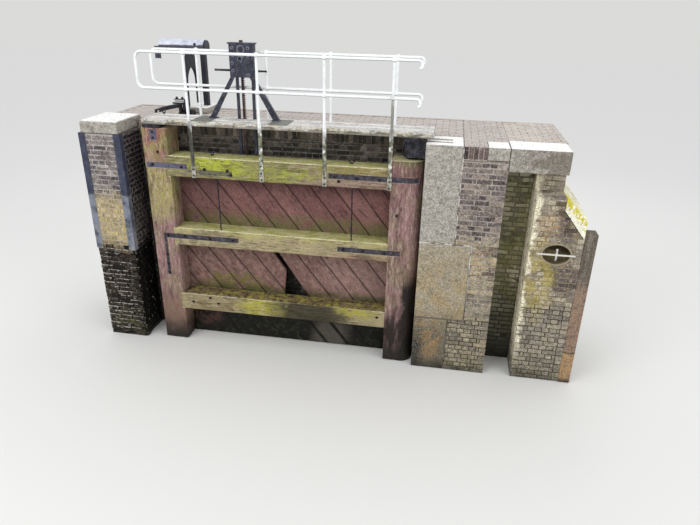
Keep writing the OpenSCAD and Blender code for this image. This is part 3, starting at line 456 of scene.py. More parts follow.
                 along("Z", 0.1, 0.4)),
            coat((24, 22, 20), 0.8, along("X", -1.0, -0.6), along("Z", 1.3, 0.7),
                 grain(5, 0.42, 0.52, (2, 2, 0.5))),
            wetFoot,
        ],
        "bumps": [(26, 0.0016, (3, 3, 0.3)), (90, 0.0007, (3, 3, 0.3))],
    },
    "planking": {
        "scale": 4, "stretch": (0.5, 1.5, 1.5), "turn": boardTurn, "roughness": 0.68, "drift": 0.25,
        "grit": (60, 0.36),
        "tones": {0: (70, 44, 45), 0.4: (104, 69, 69), 0.75: (126, 87, 83), 1: (148, 112, 104)},
        "layers": [
            coat((72, 46, 48), 0.6, tone(0.45, 0.0)),
            coat((140, 104, 98), 0.5, tone(0.6, 1.0)),
            coat((134, 106, 98), 0.6, along("Z", 2.3, 2.1)),
            coat((166, 136, 124), 0.45, along("Z", 2.1, 1.9), grain(9, 0.48, 0.6)),
            coat((150, 108, 102), 0.28, along("Z", 2.1, 2.3)),
            coat((172, 142, 134), 0.3, along("X", -1.6, -1.2), along("Z", 2.1, 1.9)),
            coat((52, 32, 34), 0.5, grain(20, 0.54, 0.64, (0.3, 1, 1.2))),
            coat((184, 156, 144), 0.22, grain(36, 0.57, 0.66, (0.4, 1, 1.2))),
            coat((104, 102, 62), 0.85, along("Z", 2.42, 2.2), along("Z", 2.0, 2.1), grain(7, 0.36, 0.48)),
            coat((118, 112, 58), 0.85, spot((-2.9, 0.11, 1.0), (0.7, 0.3, 0.3)), grain(7, 0.42, 0.52)),
            coat((84, 84, 52), 0.85, along("Z", 1.06, 0.95), grain(7, 0.34, 0.46)),
            # painted shadow under the top rail: planking darker above z 2.78-2.98
            coat((46, 32, 33), 0.6, along("Z", 2.78, 2.98)),
            coat((58, 42, 44), 0.35, along("X", -2.9, -3.3), along("Z", 2.1, 2.3)),
            coat((20, 14, 14), 0.9, seam(*boardSeam, 0.01, 0.004)),
            # painted shade: soft darkening for 3 cm either side of each board joint
            coat((60, 42, 40), 0.35, seam(*boardSeam, 0.03, 0.0)),
            coat((14, 14, 12), 0.97, along("Z", 0.92, 0.86), rough=0.6),
            coat((56, 58, 40), 0.5, along("Z", 0.92, 0.86), grain(12, 0.52, 0.62)),
            coat((104, 98, 88), 0.6, along("Z", 0.6, 0.5), spot((-1.25, 0.11, 0.2), (0.42, 0.3, 0.4)),
                 seam(boardSeam[0], boardSeam[1] + 0.154, boardSeam[2], 0.14, 0.11)),
            coat((84, 58, 54), 0.7, spot((-3.5, 0.11, 0.4), (0.35, 0.3, 0.3)), grain(8, 0.4, 0.52)),
        ],
        "bumps": [(30, 0.002, (0.3, 2, 3)), (110, 0.0008, (0.3, 2, 3))],
    },
    "deck plank": {
        "scale": 5, "stretch": (0.4, 2.5, 2.5), "roughness": 0.88, "drift": 0.2, "grit": (46, 0.3),
        "tones": {0: (186, 182, 177), 0.4: (224, 221, 217), 0.8: (242, 240, 237), 1: (252, 251, 249)},
        "layers": [
            coat((190, 186, 181), 0.6, tone(0.5, 0.1)),
            coat((88, 82, 76), 0.75, grain(26, 0.56, 0.63, (0.12, 1.2, 1))),
            coat((204, 194, 160), 0.5, facing("Y", -0.4, -0.8), grain(5, 0.4, 0.55)),
            coat((112, 106, 80), 0.7, facing("Y", -0.4, -0.8), grain(12, 0.52, 0.62)),
            # painted shadow under the deck boards: darker below z 3.828-3.842
            coat((66, 60, 52), 0.6, along("Z", 3.842, 3.828)),
        ],
        "bumps": [(30, 0.0025, (0.25, 3, 3)), (120, 0.001, (0.25, 3, 3))],
    },
    "fender timber": {
        "scale": 5, "stretch": (2.5, 2.5, 0.4), "roughness": 0.85, "drift": 0.2, "grit": (46, 0.45),
        "tones": {0: (78, 71, 63), 0.5: (108, 99, 89), 1: (142, 132, 119)},
        "layers": [
            coat((160, 132, 112), 0.75, along("Z", 1.85, 1.6), grain(6, 0.3, 0.5)),
            coat((184, 150, 104), 0.65, along("Z", 0.6, 0.52), grain(8, 0.34, 0.5)),
            coat((44, 38, 33), 0.85, along("Z", 0.55, 0.575), along("Z", 0.6, 0.58)),
            coat((60, 48, 42), 0.5, grain(24, 0.56, 0.64, (1.4, 1.4, 0.35))),
            wet(0.9, 0.12, 0.0, 0.3),
        ],
        "bumps": [(26, 0.003, (3, 3, 0.3)), (90, 0.001, (3, 3, 0.3))],
    },
    "black iron": {
        "scale": 14, "roughness": 0.5, "metallic": 0.25, "drift": 0.2, "grit": (110, 0.25),
        "tones": {0: (24, 24, 28), 0.5: (46, 46, 53), 1: (92, 92, 103)},
        "layers": [
            coat((104, 70, 50), 0.6, grain(16, 0.6, 0.68), rough=0.9),
            coat((104, 100, 70), 0.5, grain(9, 0.62, 0.7), rough=0.9),
        ],
        "bumps": [(60, 0.0008), (200, 0.0003)],
    },
    "strap iron": {
        "scale": 22, "roughness": 0.6, "metallic": 0.2, "drift": 0.2, "grit": (90, 0.3),
        "tones": {0: (38, 36, 42), 0.5: (66, 63, 72), 1: (112, 108, 118)},
        "layers": [
            coat((104, 103, 126), 0.85, along("X", -3.2, -3.5), along("Z", 2.9, 3.05),
                 grain(12, 0.32, 0.46)),
            coat((118, 118, 86), 0.8, spot((-3.0, -0.2, 3.08), (0.36, 0.1, 0.12)), grain(14, 0.36, 0.5)),
            coat((112, 74, 52), 0.6, grain(18, 0.58, 0.66), rough=0.9),
        ],
        "bumps": [(60, 0.0012)],
    },
    "bolt iron": {
        "scale": 30, "roughness": 0.6, "metallic": 0.2, "drift": 0.1,
        "tones": {0: (18, 17, 19), 0.5: (34, 33, 36), 1: (78, 75, 76)},
        "layers": [
            coat((96, 64, 46), 0.6, grain(24, 0.56, 0.66), rough=0.9),
        ],
        "bumps": [(140, 0.0006)],
    },
    "pale zinc": {
        "scale": 30, "roughness": 0.65, "metallic": 0.1, "drift": 0.1, "grit": (120, 0.2),
        "tones": {0: (132, 130, 120), 0.5: (172, 170, 160), 1: (206, 204, 196)},
        "layers": [
            coat((96, 96, 60), 0.7, grain(18, 0.5, 0.6), rough=0.9),
        ],
        "bumps": [(140, 0.0006)],
    },
    "wall iron": {
        "scale": 9, "roughness": 0.55, "metallic": 0.15, "drift": 0.25, "grit": (90, 0.28),
        "tones": {0: (48, 51, 66), 0.5: (64, 68, 86), 1: (88, 92, 110)},
        "layers": [
            coat((142, 146, 158), 0.8, along("Z", 2.62, 2.58), grain(6, 0.32, 0.55)),
            coat((178, 166, 136), 0.4, along("Z", 2.2, 1.9), grain(10, 0.5, 0.6)),
            coat((172, 175, 182), 0.4, along("Z", 2.64, 2.61), along("Z", 2.58, 2.6)),
            coat((232, 230, 220), 0.85, along("X", 1.3, 1.5), grain(12, 0.32, 0.46)),
        ],
        "bumps": [(50, 0.001), (220, 0.0003)],
    },
    "charcoal paint": {
        "scale": 10, "roughness": 0.5, "metallic": 0.1, "drift": 0.2, "grit": (80, 0.4),
        "tones": {0: (40, 40, 50), 0.5: (60, 61, 73), 1: (92, 94, 110)},
        "layers": [
            coat((138, 138, 148), 0.5, grain(30, 0.6, 0.68), rough=0.9),
            # painted highlight: upward faces paler
            coat((134, 136, 144), 0.6, facing("Z", 0.6, 0.9)),
            coat((24, 24, 30), 0.7, along("X", -3.1, -3.3)),
        ],
        "bumps": [(55, 0.0007), (220, 0.0002)],
    },
    # washers painted pale as a painted highlight round dark bolt heads
    "washer steel": {
        "scale": 30, "roughness": 0.55, "metallic": 0.1, "drift": 0.1, "grit": (120, 0.2),
        "tones": {0: (104, 106, 120), 0.5: (140, 143, 158), 1: (176, 179, 192)},
        "bumps": [(140, 0.0006)],
    },
    "hub paint": {
        "scale": 14, "roughness": 0.5, "metallic": 0.1, "drift": 0.05, "grit": (80, 0.3),
        "tones": {0: (84, 85, 97), 0.5: (108, 110, 124), 1: (140, 143, 156)},
        "layers": [
            coat((26, 26, 32), 0.9, facing("Y", -0.85, -0.6)),
            coat((30, 30, 37), 0.85, spot((-2.604, 0.07, 4.902), (0.05, 0.1, 0.05))),
        ],
        "bumps": [(60, 0.0006)],
    },
    "hood steel": {
        "scale": 6, "roughness": 0.45, "metallic": 0.1, "drift": 0.05, "grit": (90, 0.12),
        "tones": {0: (160, 165, 178), 0.5: (204, 209, 222), 1: (230, 234, 244)},
        "layers": [
            # painted shade on the skirt below the hood's rounded top: dark band below z 4.838-4.858
            coat((60, 58, 74), 0.95, along("Z", 4.858, 4.838)),
            coat((48, 48, 58), 0.97, along("X", -3.695, -3.69)),
            coat((116, 84, 62), 0.5, grain(20, 0.63, 0.7), rough=0.9),
        ],
        "bumps": [(30, 0.0008), (200, 0.0002)],
    },
    "white paint": {
        "scale": 12, "roughness": 0.42, "drift": 0.15, "grit": (110, 0.08),
        "tones": {0: (220, 222, 222), 0.4: (240, 242, 243), 1: (250, 251, 252)},
        "layers": [
            coat((140, 132, 118), 0.5, grain(22, 0.65, 0.72), rough=0.9),
            # painted shade: downward faces darker grey
            coat((134, 134, 128), 0.8, facing("Z", -0.35, -0.75)),
            coat((112, 112, 82), 0.9, along("Z", 3.84, 3.72), grain(9, 0.3, 0.48), rough=0.8),
            coat((60, 58, 52), 0.7, along("Z", 3.84, 3.72), grain(18, 0.5, 0.6)),
            coat((96, 92, 74), 0.8, spot((-0.293, -0.21, 4.05), (0.06, 0.1, 0.42))),
            coat((58, 58, 56), 0.85, spot((-3.373, -0.21, 3.5), (0.06, 0.1, 0.5))),
        ],
        "bumps": [(90, 0.0006)],
    },
    "plate steel": {
        "scale": 9, "roughness": 0.5, "metallic": 0.15, "drift": 0.2, "grit": (80, 0.2),
        "tones": {0: (98, 100, 98), 0.5: (126, 128, 126), 1: (156, 157, 152)},
        "layers": [
            coat((118, 116, 88), 0.6, grain(9, 0.5, 0.6), rough=0.9),
            coat((70, 70, 74), 0.6, grain(14, 0.56, 0.66), rough=0.9),
        ],
        "bumps": [(60, 0.0006)],
    },
    "rack iron": {
        "scale": 14, "roughness": 0.5, "metallic": 0.3, "drift": 0.2, "grit": (100, 0.2),
        "tones": {0: (46, 34, 34), 0.5: (74, 54, 54), 1: (128, 98, 94)},
        "layers": [
            coat((30, 28, 30), 0.7, grain(10, 0.5, 0.6), rough=0.3),
        ],
        "bumps": [(80, 0.0008)],
    },
}
finish = {name: weathered(name, settings) for name, settings in finishes.items()}
print("finishes:", len(finish))


# Mesh helpers
def show(name, mesh, body, *nodes):
    piece = bpy.data.objects.new(name, mesh)
    bpy.context.scene.collection.objects.link(piece)
    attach(piece, body)
    if nodes:
        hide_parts(*nodes)
    return piece


def holder(name, mesh):
    piece = bpy.data.objects.new(name, mesh)
    bpy.context.scene.collection.objects.link(piece)
    return piece


def applied(piece):  # the piece's mesh with its modifiers, and the piece itself is removed
    graph = bpy.context.evaluated_depsgraph_get()
    shaped = piece.evaluated_get(graph)
    mesh = bpy.data.meshes.new_from_object(shaped, preserve_all_data_layers=True, depsgraph=graph)
    bpy.data.objects.remove(piece)
    return mesh


def joined(name, meshes):
    holders = [holder(name, mesh) for mesh in meshes]
    with bpy.context.temp_override(active_object=holders[0], selected_editable_objects=holders):
        bpy.ops.object.join()
    mesh = holders[0].data
    bpy.data.objects.remove(holders[0])
    return mesh


def cleanCopy(node):
    mesh = bpy.data.meshes.new(node + "Copy")
    work = bmesh.new()
    work.from_mesh(cad[node].data)
    bmesh.ops.remove_doubles(work, verts=work.verts, dist=0.00005)
    bmesh.ops.dissolve_limit(work, angle_limit=math.radians(1), verts=work.verts, edges=work.edges)
    work.to_mesh(mesh)
    work.free()
    return mesh


def islandsOf(work):  # the separate bodies of a bmesh, as lists of vertices
    seen = set()
    islands = []
    for start in work.verts:
        if start in seen:
            continue
        seen.add(start)
        island, stack = [], [start]
        while stack:
            current = stack.pop()
            island.append(current)
            for edge in current.link_edges:
                other = edge.other_vert(current)
                if other not in seen:
                    seen.add(other)
                    stack.append(other)
        islands.append(island)
    return islands


def toned(mesh, seed):  # gives every separate board its own tone
    work = bmesh.new()
    work.from_mesh(mesh)
    layer = work.verts.layers.float.new("tone")
    draw = random.Random(seed)
    for island in islandsOf(work):
        tone = draw.random()
        for vertex in island:
            vertex[layer] = tone
    work.to_mesh(mesh)
    work.free()
    return mesh


def prism(outline, axis, low, high):  # the outline lies in the two other axes
    work = bmesh.new()
    order = {"X": (2, 0, 1), "Y": (0, 2, 1), "Z": (0, 1, 2)}[axis]
    ends = []
    for level in (low, high):
        points = [(u, v, level) for u, v in outline]
        ends.append([work.verts.new([point[order[i]] for i in range(3)]) for point in points])
    work.faces.new(ends[0])
    work.faces.new(ends[1])
    for i in range(len(outline)):
        j = (i + 1) % len(outline)
        work.faces.new([ends[0][i], ends[0][j], ends[1][j], ends[1][i]])
    bmesh.ops.recalc_face_normals(work, faces=work.faces)
    mesh = bpy.data.meshes.new("prism")
    work.to_mesh(mesh)
    work.free()
    return mesh


def box(low, high):
    (x0, y0, z0), (x1, y1, z1) = low, high
    return prism([(x0, y0), (x1, y0), (x1, y1), (x0, y1)], "Z", z0, z1)


def cut(mesh, cutter):
    piece = holder("cut", mesh)
    tool = holder("tool", cutter)
    modifier = piece.modifiers.new("cut", "BOOLEAN")
    modifier.operation = "DIFFERENCE"
    modifier.solver = "EXACT"
    modifier.object = tool
    result = applied(piece)
    bpy.data.objects.remove(tool)
    return result


def smooth(mesh, angle=32):
    mesh.shade_smooth()
    mesh.set_sharp_from_angle(angle=math.radians(angle))
    return mesh


def painted(mesh, material):
    mesh.materials.clear()
    mesh.materials.append(material)
    for face in mesh.polygons:
        face.material_index = 0
    return mesh


def bevelled(mesh, width, segments=2):
    piece = holder("bevel", mesh)
    modifier = piece.modifiers.new("bevel", "BEVEL")
    modifier.width = width
    modifier.segments = segments
    modifier.limit_method = "ANGLE"
    modifier.angle_limit = math.radians(40)
    return smooth(applied(piece))


def roughened(mesh, settings):  # remeshed, with its faces worn inwards
    piece = holder("rough", mesh)
    modifier = piece.modifiers.new("remesh", "REMESH")
    modifier.mode = "VOXEL"
    modifier.voxel_size = settings["voxel"]
    mesh = applied(piece)
    moves = []
    for vertex in mesh.vertices:
        wear = 0.0
        for scale, size in settings["wear"]:
            wear += size * (0.5 + 0.5 * noise.noise(vertex.co * scale))
        moves.append(vertex.co - vertex.normal * wear)
    for vertex, place in zip(mesh.vertices, moves):
        vertex.co = place
    mesh.shade_smooth()
    return mesh


def geometryTree(name, inputs):
    tree = bpy.data.node_groups.new(name, "GeometryNodeTree")
    for label, kind, value in inputs:
        socket = tree.interface.new_socket(label, in_out="INPUT", socket_type="NodeSocket" + kind)
        if value is not None:
            socket.default_value = value
    tree.interface.new_socket("Geometry", in_out="OUTPUT", socket_type="NodeSocketGeometry")
    return tree, put(tree, "NodeGroupInput").outputs


def grow(tree, values, points=()):  # runs a tree on a mesh of points and returns the plain mesh
    mesh = bpy.data.meshes.new(tree.name)
    mesh.from_pydata(list(points), [], [])
    piece = holder(tree.name, mesh)
    modifier = piece.modifiers.new("grow", "NODES")
    modifier.node_group = tree
    for item in tree.interface.items_tree:
        if item.in_out == "INPUT" and item.name in values:
            modifier[item.identifier] = values[item.name]
    return applied(piece)


# Bricks: courses of worn blocks on one face of a wall, in the face's own frame with y inwards
def brickTree():
    numbers = [
        ("Width", 1.0), ("Height", 1.0), ("Length", 0.22), ("Course", 0.08), ("Joint", 0.010),
        ("Depth", 0.1), ("Bond", 0.5), ("Left Even", 0.0), ("Left Odd", 0.0), ("Right Even", 0.0),
        ("Right Odd", 0.0), ("Cut Width", 0.0), ("Cut Low", 0.0), ("Cut High", 1.0), ("Left Step", 0.0),
        ("Right Step", 0.0), ("Step Low", 0.0), ("Step High", 9.0), ("Wear", 0.003), ("Worn Below", 0.0),
        ("Hollow", 0.0)]
    others = [("Seed", "Int", 1), ("Brick", "Object", None), ("Finish", "Material", None)]
    tree, given = geometryTree("brickCourses", [(label, "Float", value) for label, value in numbers] + others)

    def do(operation, first, second=0.0):
        return calc(tree, operation, first, second)

    rows = do("CEIL", do("SUBTRACT", do("DIVIDE", given["Height"], given["Course"]), 0.2))
    columns = do("ADD", do("CEIL", do("DIVIDE", given["Width"], do("MULTIPLY", given["Length"], 0.5))), 2.0)
    line = put(tree, "GeometryNodeMeshLine", {"Count": do("MULTIPLY", rows, columns)})
    index = put(tree, "GeometryNodeInputIndex").outputs[0]
    row = do("FLOOR", do("DIVIDE", do("ADD", index, 0.01), columns))
    column = do("SUBTRACT", index, do("MULTIPLY", row, columns))
    odd = do("MODULO", row, 2.0)
    pitch = do("MULTIPLY", given["Length"], do("SUBTRACT", 1.0, do("MULTIPLY", given["Bond"], odd)))
    shift = do("MULTIPLY", do("MULTIPLY", odd, given["Length"]),
               do("SUBTRACT", 0.5, do("MULTIPLY", given["Bond"], 0.5)))
    start = do("SUBTRACT", do("MULTIPLY", column, pitch), shift)
    level = do("MULTIPLY", do("ADD", row, 0.5), given["Course"])

    def perRow(side):
        even = do("MULTIPLY", given[side + " Even"], do("SUBTRACT", 1.0, odd))
        return do("ADD", even, do("MULTIPLY", given[side + " Odd"], odd))

    inStep = do("MULTIPLY", do("GREATER_THAN", level, given["Step Low"]),
                do("LESS_THAN", level, given["Step High"]))
    left = do("MAXIMUM", perRow("Left"), do("MULTIPLY", inStep, given["Left Step"]))
    rightTrim = do("MAXIMUM", perRow("Right"), do("MULTIPLY", inStep, given["Right Step"]))
    slope = do("DIVIDE", do("SUBTRACT", level, given["Cut Low"]),
               do("SUBTRACT", given["Cut High"], given["Cut Low"]))
    slope = do("MINIMUM", do("MAXIMUM", slope, 0.0), 1.0)
    right = do("SUBTRACT", given["Width"], do("MULTIPLY", slope, given["Cut Width"]))
    right = do("SUBTRACT", right, rightTrim)
    half = do("MULTIPLY", given["Joint"], 0.5)
    first = do("MAXIMUM", do("ADD", start, half), left)
    last = do("MINIMUM", do("SUBTRACT", do("ADD", start, pitch), half), right)
    bottom = do("ADD", do("MULTIPLY", row, given["Course"]), half)
    top = do("MINIMUM", do("SUBTRACT", do("ADD", bottom, given["Course"]), given["Joint"]), given["Height"])
    size = do("SUBTRACT", last, first)
    tall = do("SUBTRACT", top, bottom)
    keep = do("MULTIPLY", do("GREATER_THAN", size, 0.028), do("GREATER_THAN", tall, 0.02))
    middle = do("MULTIPLY", do("ADD", first, last), 0.5)
    sunk = put(tree, "FunctionNodeRandomValue", {2: 0.0, 3: 0.004, "Seed": given["Seed"]}).outputs[1]
    eaten = put(tree, "FunctionNodeRandomValue",
                {2: 0.0, 3: given["Hollow"], "Seed": do("ADD", given["Seed"], 3.0)})
    sunk = do("ADD", sunk, do("MULTIPLY", eaten.outputs[1], do("LESS_THAN", level, given["Worn Below"])))
    center = put(tree, "ShaderNodeCombineXYZ",
                 {0: middle, 1: sunk, 2: do("MULTIPLY", do("ADD", bottom, top), 0.5)})
    scale = put(tree, "ShaderNodeCombineXYZ", {0: size, 1: given["Depth"], 2: tall})
    points = put(tree, "GeometryNodeSetPosition", {"Geometry": line.outputs[0], "Position": center.outputs[0]})
    mould = put(tree, "GeometryNodeObjectInfo", {"Object": given["Brick"], "As Instance": True})
    copies = put(tree, "GeometryNodeInstanceOnPoints",
                 {"Points": points.outputs[0], "Selection": keep, "Instance": mould.outputs["Geometry"],
                  "Scale": scale.outputs[0]})
    chance = put(tree, "FunctionNodeRandomValue",
                 {2: 0.0, 3: 1.0, "Seed": do("ADD", given["Seed"], 7.0)}).outputs[1]
    named = put(tree, "GeometryNodeStoreNamedAttribute",
                {"Geometry": copies.outputs[0], "Name": "tone", "Value": chance},
                data_type="FLOAT", domain="INSTANCE")
    solid = put(tree, "GeometryNodeRealizeInstances", {0: named.outputs[0]})
    place = put(tree, "GeometryNodeInputPosition").outputs[0]
    jitter = put(tree, "ShaderNodeTexNoise", {"Vector": place, "Scale": 14.0, "Detail": 3.0}).outputs[1]
    jitter = vectorCalc(tree, "SUBTRACT", jitter, (0.5, 0.5, 0.5))
    height = put(tree, "ShaderNodeSeparateXYZ", {0: place}).outputs[2]
    worn = do("ADD", 1.0, do("MULTIPLY", do("LESS_THAN", height, given["Worn Below"]), 2.2))
    parts = put(tree, "ShaderNodeSeparateXYZ", {0: jitter})
    inward = do("MULTIPLY", do("ABSOLUTE", parts.outputs[1]), 4.0)
    move = put(tree, "ShaderNodeCombineXYZ", {0: parts.outputs[0], 1: inward, 2: parts.outputs[2]}).outputs[0]
    amount = do("MULTIPLY", given["Wear"], worn)
    move = vectorCalc(tree, "MULTIPLY", move,
                      put(tree, "ShaderNodeCombineXYZ", {0: amount, 1: amount, 2: amount}).outputs[0])
    edge = put(tree, "ShaderNodeCombineXYZ", {0: do("SUBTRACT", given["Width"], 0.001), 1: 1.0,
                                              2: do("SUBTRACT", given["Height"], 0.001)}).outputs[0]
    moved = vectorCalc(tree, "MINIMUM", vectorCalc(tree, "ADD", place, move), edge)
    moved = vectorCalc(tree, "MAXIMUM", moved, (0.001, 0.0, 0.001))
    shaped = put(tree, "GeometryNodeSetPosition", {"Geometry": solid.outputs[0], "Position": moved})
    dressed = put(tree, "GeometryNodeSetMaterial",
                  {"Geometry": shaped.outputs[0], "Material": given["Finish"]})
    put(tree, "NodeGroupOutput", {0: dressed.outputs[0]})
    return tree


def brickMould():  # a unit block, its outer face at y = 0 with chamfered edges
    work = bmesh.new()
    rings = []
    for y, insetX, insetZ in ((0.0, 0.035, 0.11), (0.07, 0.0, 0.0), (1.0, 0.0, 0.0)):
        x, z = 0.5 - insetX, 0.5 - insetZ
        rings.append([work.verts.new(place) for place in ((-x, y, -z), (x, y, -z), (x, y, z), (-x, y, z))])
    work.faces.new(rings[0])
    work.faces.new(rings[2])
    for near, far in zip(rings, rings[1:]):
        for i in range(4):
            j = (i + 1) % 4
            work.faces.new([near[i], near[j], far[j], far[i]])
    bmesh.ops.recalc_face_normals(work, faces=work.faces)
    mesh = bpy.data.meshes.new("brickMould")
    work.to_mesh(mesh)
    work.free()
    return holder("brickMould", mesh)


courses = brickTree()
mould = brickMould()
axes = {"X": Vector((1, 0, 0)), "Y": Vector((0, 1, 0)), "Z": Vector((0, 0, 1)),
        "-X": Vector((-1, 0, 0)), "-Y": Vector((0, -1, 0)), "-Z": Vector((0, 0, -1))}
corner = 0.113  # what a brick from the next face takes up at a corner, with its joint


def brickFace(origin, across, inward, up, material, seed, **sizes):
    values = {"Seed": seed, "Brick": mould, "Finish": finish[material]}
    values.update({label.replace("_", " "): float(value) for label, value in sizes.items()})
    mesh = grow(courses, values)
    rows = Matrix((axes[across], axes[inward], axes[up])).transposed()
    mesh.transform(Matrix.Translation(origin) @ rows.to_4x4())
    if rows.determinant() < 0:
        mesh.flip_normals()
    return mesh


def brickWall(name, node, settings):
    meshes = [painted(mesh, finish[settings["mortar"]]) for mesh in settings["core"]]
    meshes += [painted(mesh, finish["eroded mortar"]) for mesh in settings.get("wornCore", [])]
    for count, (place, sizes) in enumerate(settings["faces"]):
        material = "wall brick" if place[0][1] == backY else settings["brick"]  # the back is one plain wall
        mesh = brickFace(*place, material, settings["seed"] + count, **sizes)
        meshes.extend(opened(mesh) if count == settings.get("niche") else [mesh])
    show(name, joined(name, meshes), "root", node)


nicheSize = {"x": 2.235, "z": 2.21, "wide": 0.2, "high": 0.15, "deep": 0.12, "points": 48, "ring": 0.026}


def nicheOutline(grow=0.0):
    turns = [2 * math.pi * i / nicheSize["points"] for i in range(nicheSize["points"])]
    return [(nicheSize["x"] + (nicheSize["wide"] + grow) * math.cos(t),
             nicheSize["z"] + (nicheSize["high"] + grow) * math.sin(t)) for t in turns]


def opened(mesh):  # splits a face's bricks and cuts the ones near the niche by its outline
    near = bmesh.new()
    near.from_mesh(mesh)
    far = near.copy()
    reach = 0.42

    def keepIslands(work, wanted):
        doomed = []
        for island in islandsOf(work):
            middle = sum((v.co for v in island), Vector()) / len(island)
            close = abs(middle.x - nicheSize["x"]) < reach and abs(middle.z - nicheSize["z"]) < reach
            if close != wanted:
                doomed.extend(island)
        bmesh.ops.delete(work, geom=doomed, context="VERTS")

    keepIslands(near, True)
    keepIslands(far, False)
    meshes = []
    for work in (near, far):
        part = mesh.copy()
        work.to_mesh(part)
        work.free()
        meshes.append(part)
    hole = prism(nicheOutline(nicheSize["ring"]), "Y", wallY - 0.05, wallY + nicheSize["deep"] + 0.02)
    meshes[0] = cut(meshes[0], hole)
    return meshes


sink = 0.006  # joints are raked back by this much
deep = 0.032  # and by this much where the bricks are eaten away
wallY, recessY, backY, quayZ = -0.3, 0.33, 1.78, 3.746
wornZ = 1.76
soldiers = {"Length": 0.07, "Bond": 0.0, "Course": 0.2, "Height": 0.2}
paving = {"Length": 0.22, "Bond": 0.0, "Course": 0.112, "Depth": 0.05, "Joint": 0.008}

leftPier = {
    "brick": "pier brick", "mortar": "mortar", "slot": "brick", "seed": 11,
    "core": [box((-5.201 + sink, wallY + sink, wornZ), (-4.505 - sink, recessY, 3.624 - sink))],
    "wornCore": [box((-5.201 + deep, wallY + deep, 0), (-4.505 - deep, recessY, wornZ - 0.0005))],
    "faces": [
        (((-5.201, wallY, 0), "X", "Y", "Z"), {"Width": 0.696, "Height": 3.624, "Left_Odd": corner,
                                               "Right_Odd": corner, "Right_Step": 0.118, "Step_Low": 1.68,
                                               "Worn_Below": wornZ, "Wear": 0.006, "Hollow": 0.026}),
        (((-4.505, wallY, 0), "Y", "-X", "Z"), {"Width": 0.63, "Height": 3.624, "Left_Even": corner,
                                                "Left_Step": 0.106, "Step_Low": 1.68, "Wear": 0.004,
                                                "Worn_Below": wornZ, "Hollow": 0.02}),
        (((-5.201, recessY, 0), "-Y", "X", "Z"), {"Width": 0.63, "Height": 3.624, "Right_Even": corner}),
    ],
}

recessWall = {
    "brick": "wall brick", "mortar": "dark mortar", "slot": "wall_brick", "seed": 31,
    "core": [box((-5.201 + sink, recessY + sink, 0), (0.75, backY - sink, quayZ - sink))],
    "faces": [
        (((-4.505, recessY, 0), "X", "Y", "Z"), {"Width": 5.255, "Height": 3.546}),
        (((-4.505, recessY, 3.546), "X", "Y", "Z"), {"Width": 5.255, **soldiers}),
        (((0.75, backY, 0), "-X", "-Y", "Z"), {"Width": 5.951, "Height": quayZ, "Right_Odd": corner}),
        (((-5.201, backY, 0), "-Y", "X", "Z"), {"Width": 1.45, "Height": quayZ, "Left_Even": corner}),
        (((-5.201, recessY + 0.11, quayZ), "X", "-Z", "Y"), {"Width": 5.951, "Height": 1.23, **paving}),
    ],
}

brickPier = {
    "brick": "pier brick", "mortar": "mortar", "slot": "brick", "seed": 51,
    "core": [box((0.75, wallY + sink, 2.239), (1.398 - sink, backY - sink, 3.546)),
             box((0.75, wallY + sink, 3.5465), (1.085, 0.12, quayZ - sink)),
             box((0.75, 0.1205, 3.5465), (1.398, backY - sink, quayZ - sink)),
             box((1.0, wallY + sink, 1.04), (1.398 - sink, recessY, 2.2385)),
             box((0.75, recessY + 0.0005, 0.94), (1.398 - sink, backY - sink, 2.2385))],
    "wornCore": [box((0.75, wallY + 0.02, 0), (1.398 - 0.02, backY - sink, 0.9395)),
                 box((1.0, wallY + 0.02, 0.9395), (1.398 - 0.02, recessY, 1.0395))],
    "faces": [
        (((0.75, wallY, 0), "X", "Y", "Z"), {"Width": 0.648, "Height": 3.546, "Right_Odd": corner,
                                             "Left_Step": 0.256, "Step_Low": 0.94, "Step_High": 2.239,
                                             "Worn_Below": 1.04, "Hollow": 0.012}),
        (((0.75, wallY, 3.546), "X", "Y", "Z"), {"Width": 0.335, **soldiers}),
        (((1.398, wallY, 0), "Y", "-X", "Z"), {"Width": 0.56, "Height": 3.402, "Left_Even": corner}),
        (((1.398, backY, 0), "-X", "-Y", "Z"), {"Width": 0.648, "Height": quayZ}),
        (((0.75, wallY + 0.11, quayZ), "X", "-Z", "Y"), {"Width": 0.335, "Height": 0.31, **paving}),
        (((0.75, 0.12, quayZ), "X", "-Z", "Y"), {"Width": 0.648, "Height": 1.66, **paving}),
    ],
}

slotWall = {
    "brick": "slot brick", "mortar": "slot mortar", "slot": "wall_brick", "seed": 71,
    "core": [box((1.398, 0.26 + sink, 0), (1.833, backY - sink, quayZ - sink))],
    "faces": [
        (((1.398, 0.26, 0), "X", "Y", "Z"), {"Width": 0.435, "Height": 3.402, "Wear": 0.006}),
        (((1.833, backY, 0), "-X", "-Y", "Z"), {"Width": 0.435, "Height": quayZ}),
        (((1.398, 0.26, quayZ), "X", "-Z", "Y"), {"Width": 0.435, "Height": 1.52, **paving}),
    ],
}

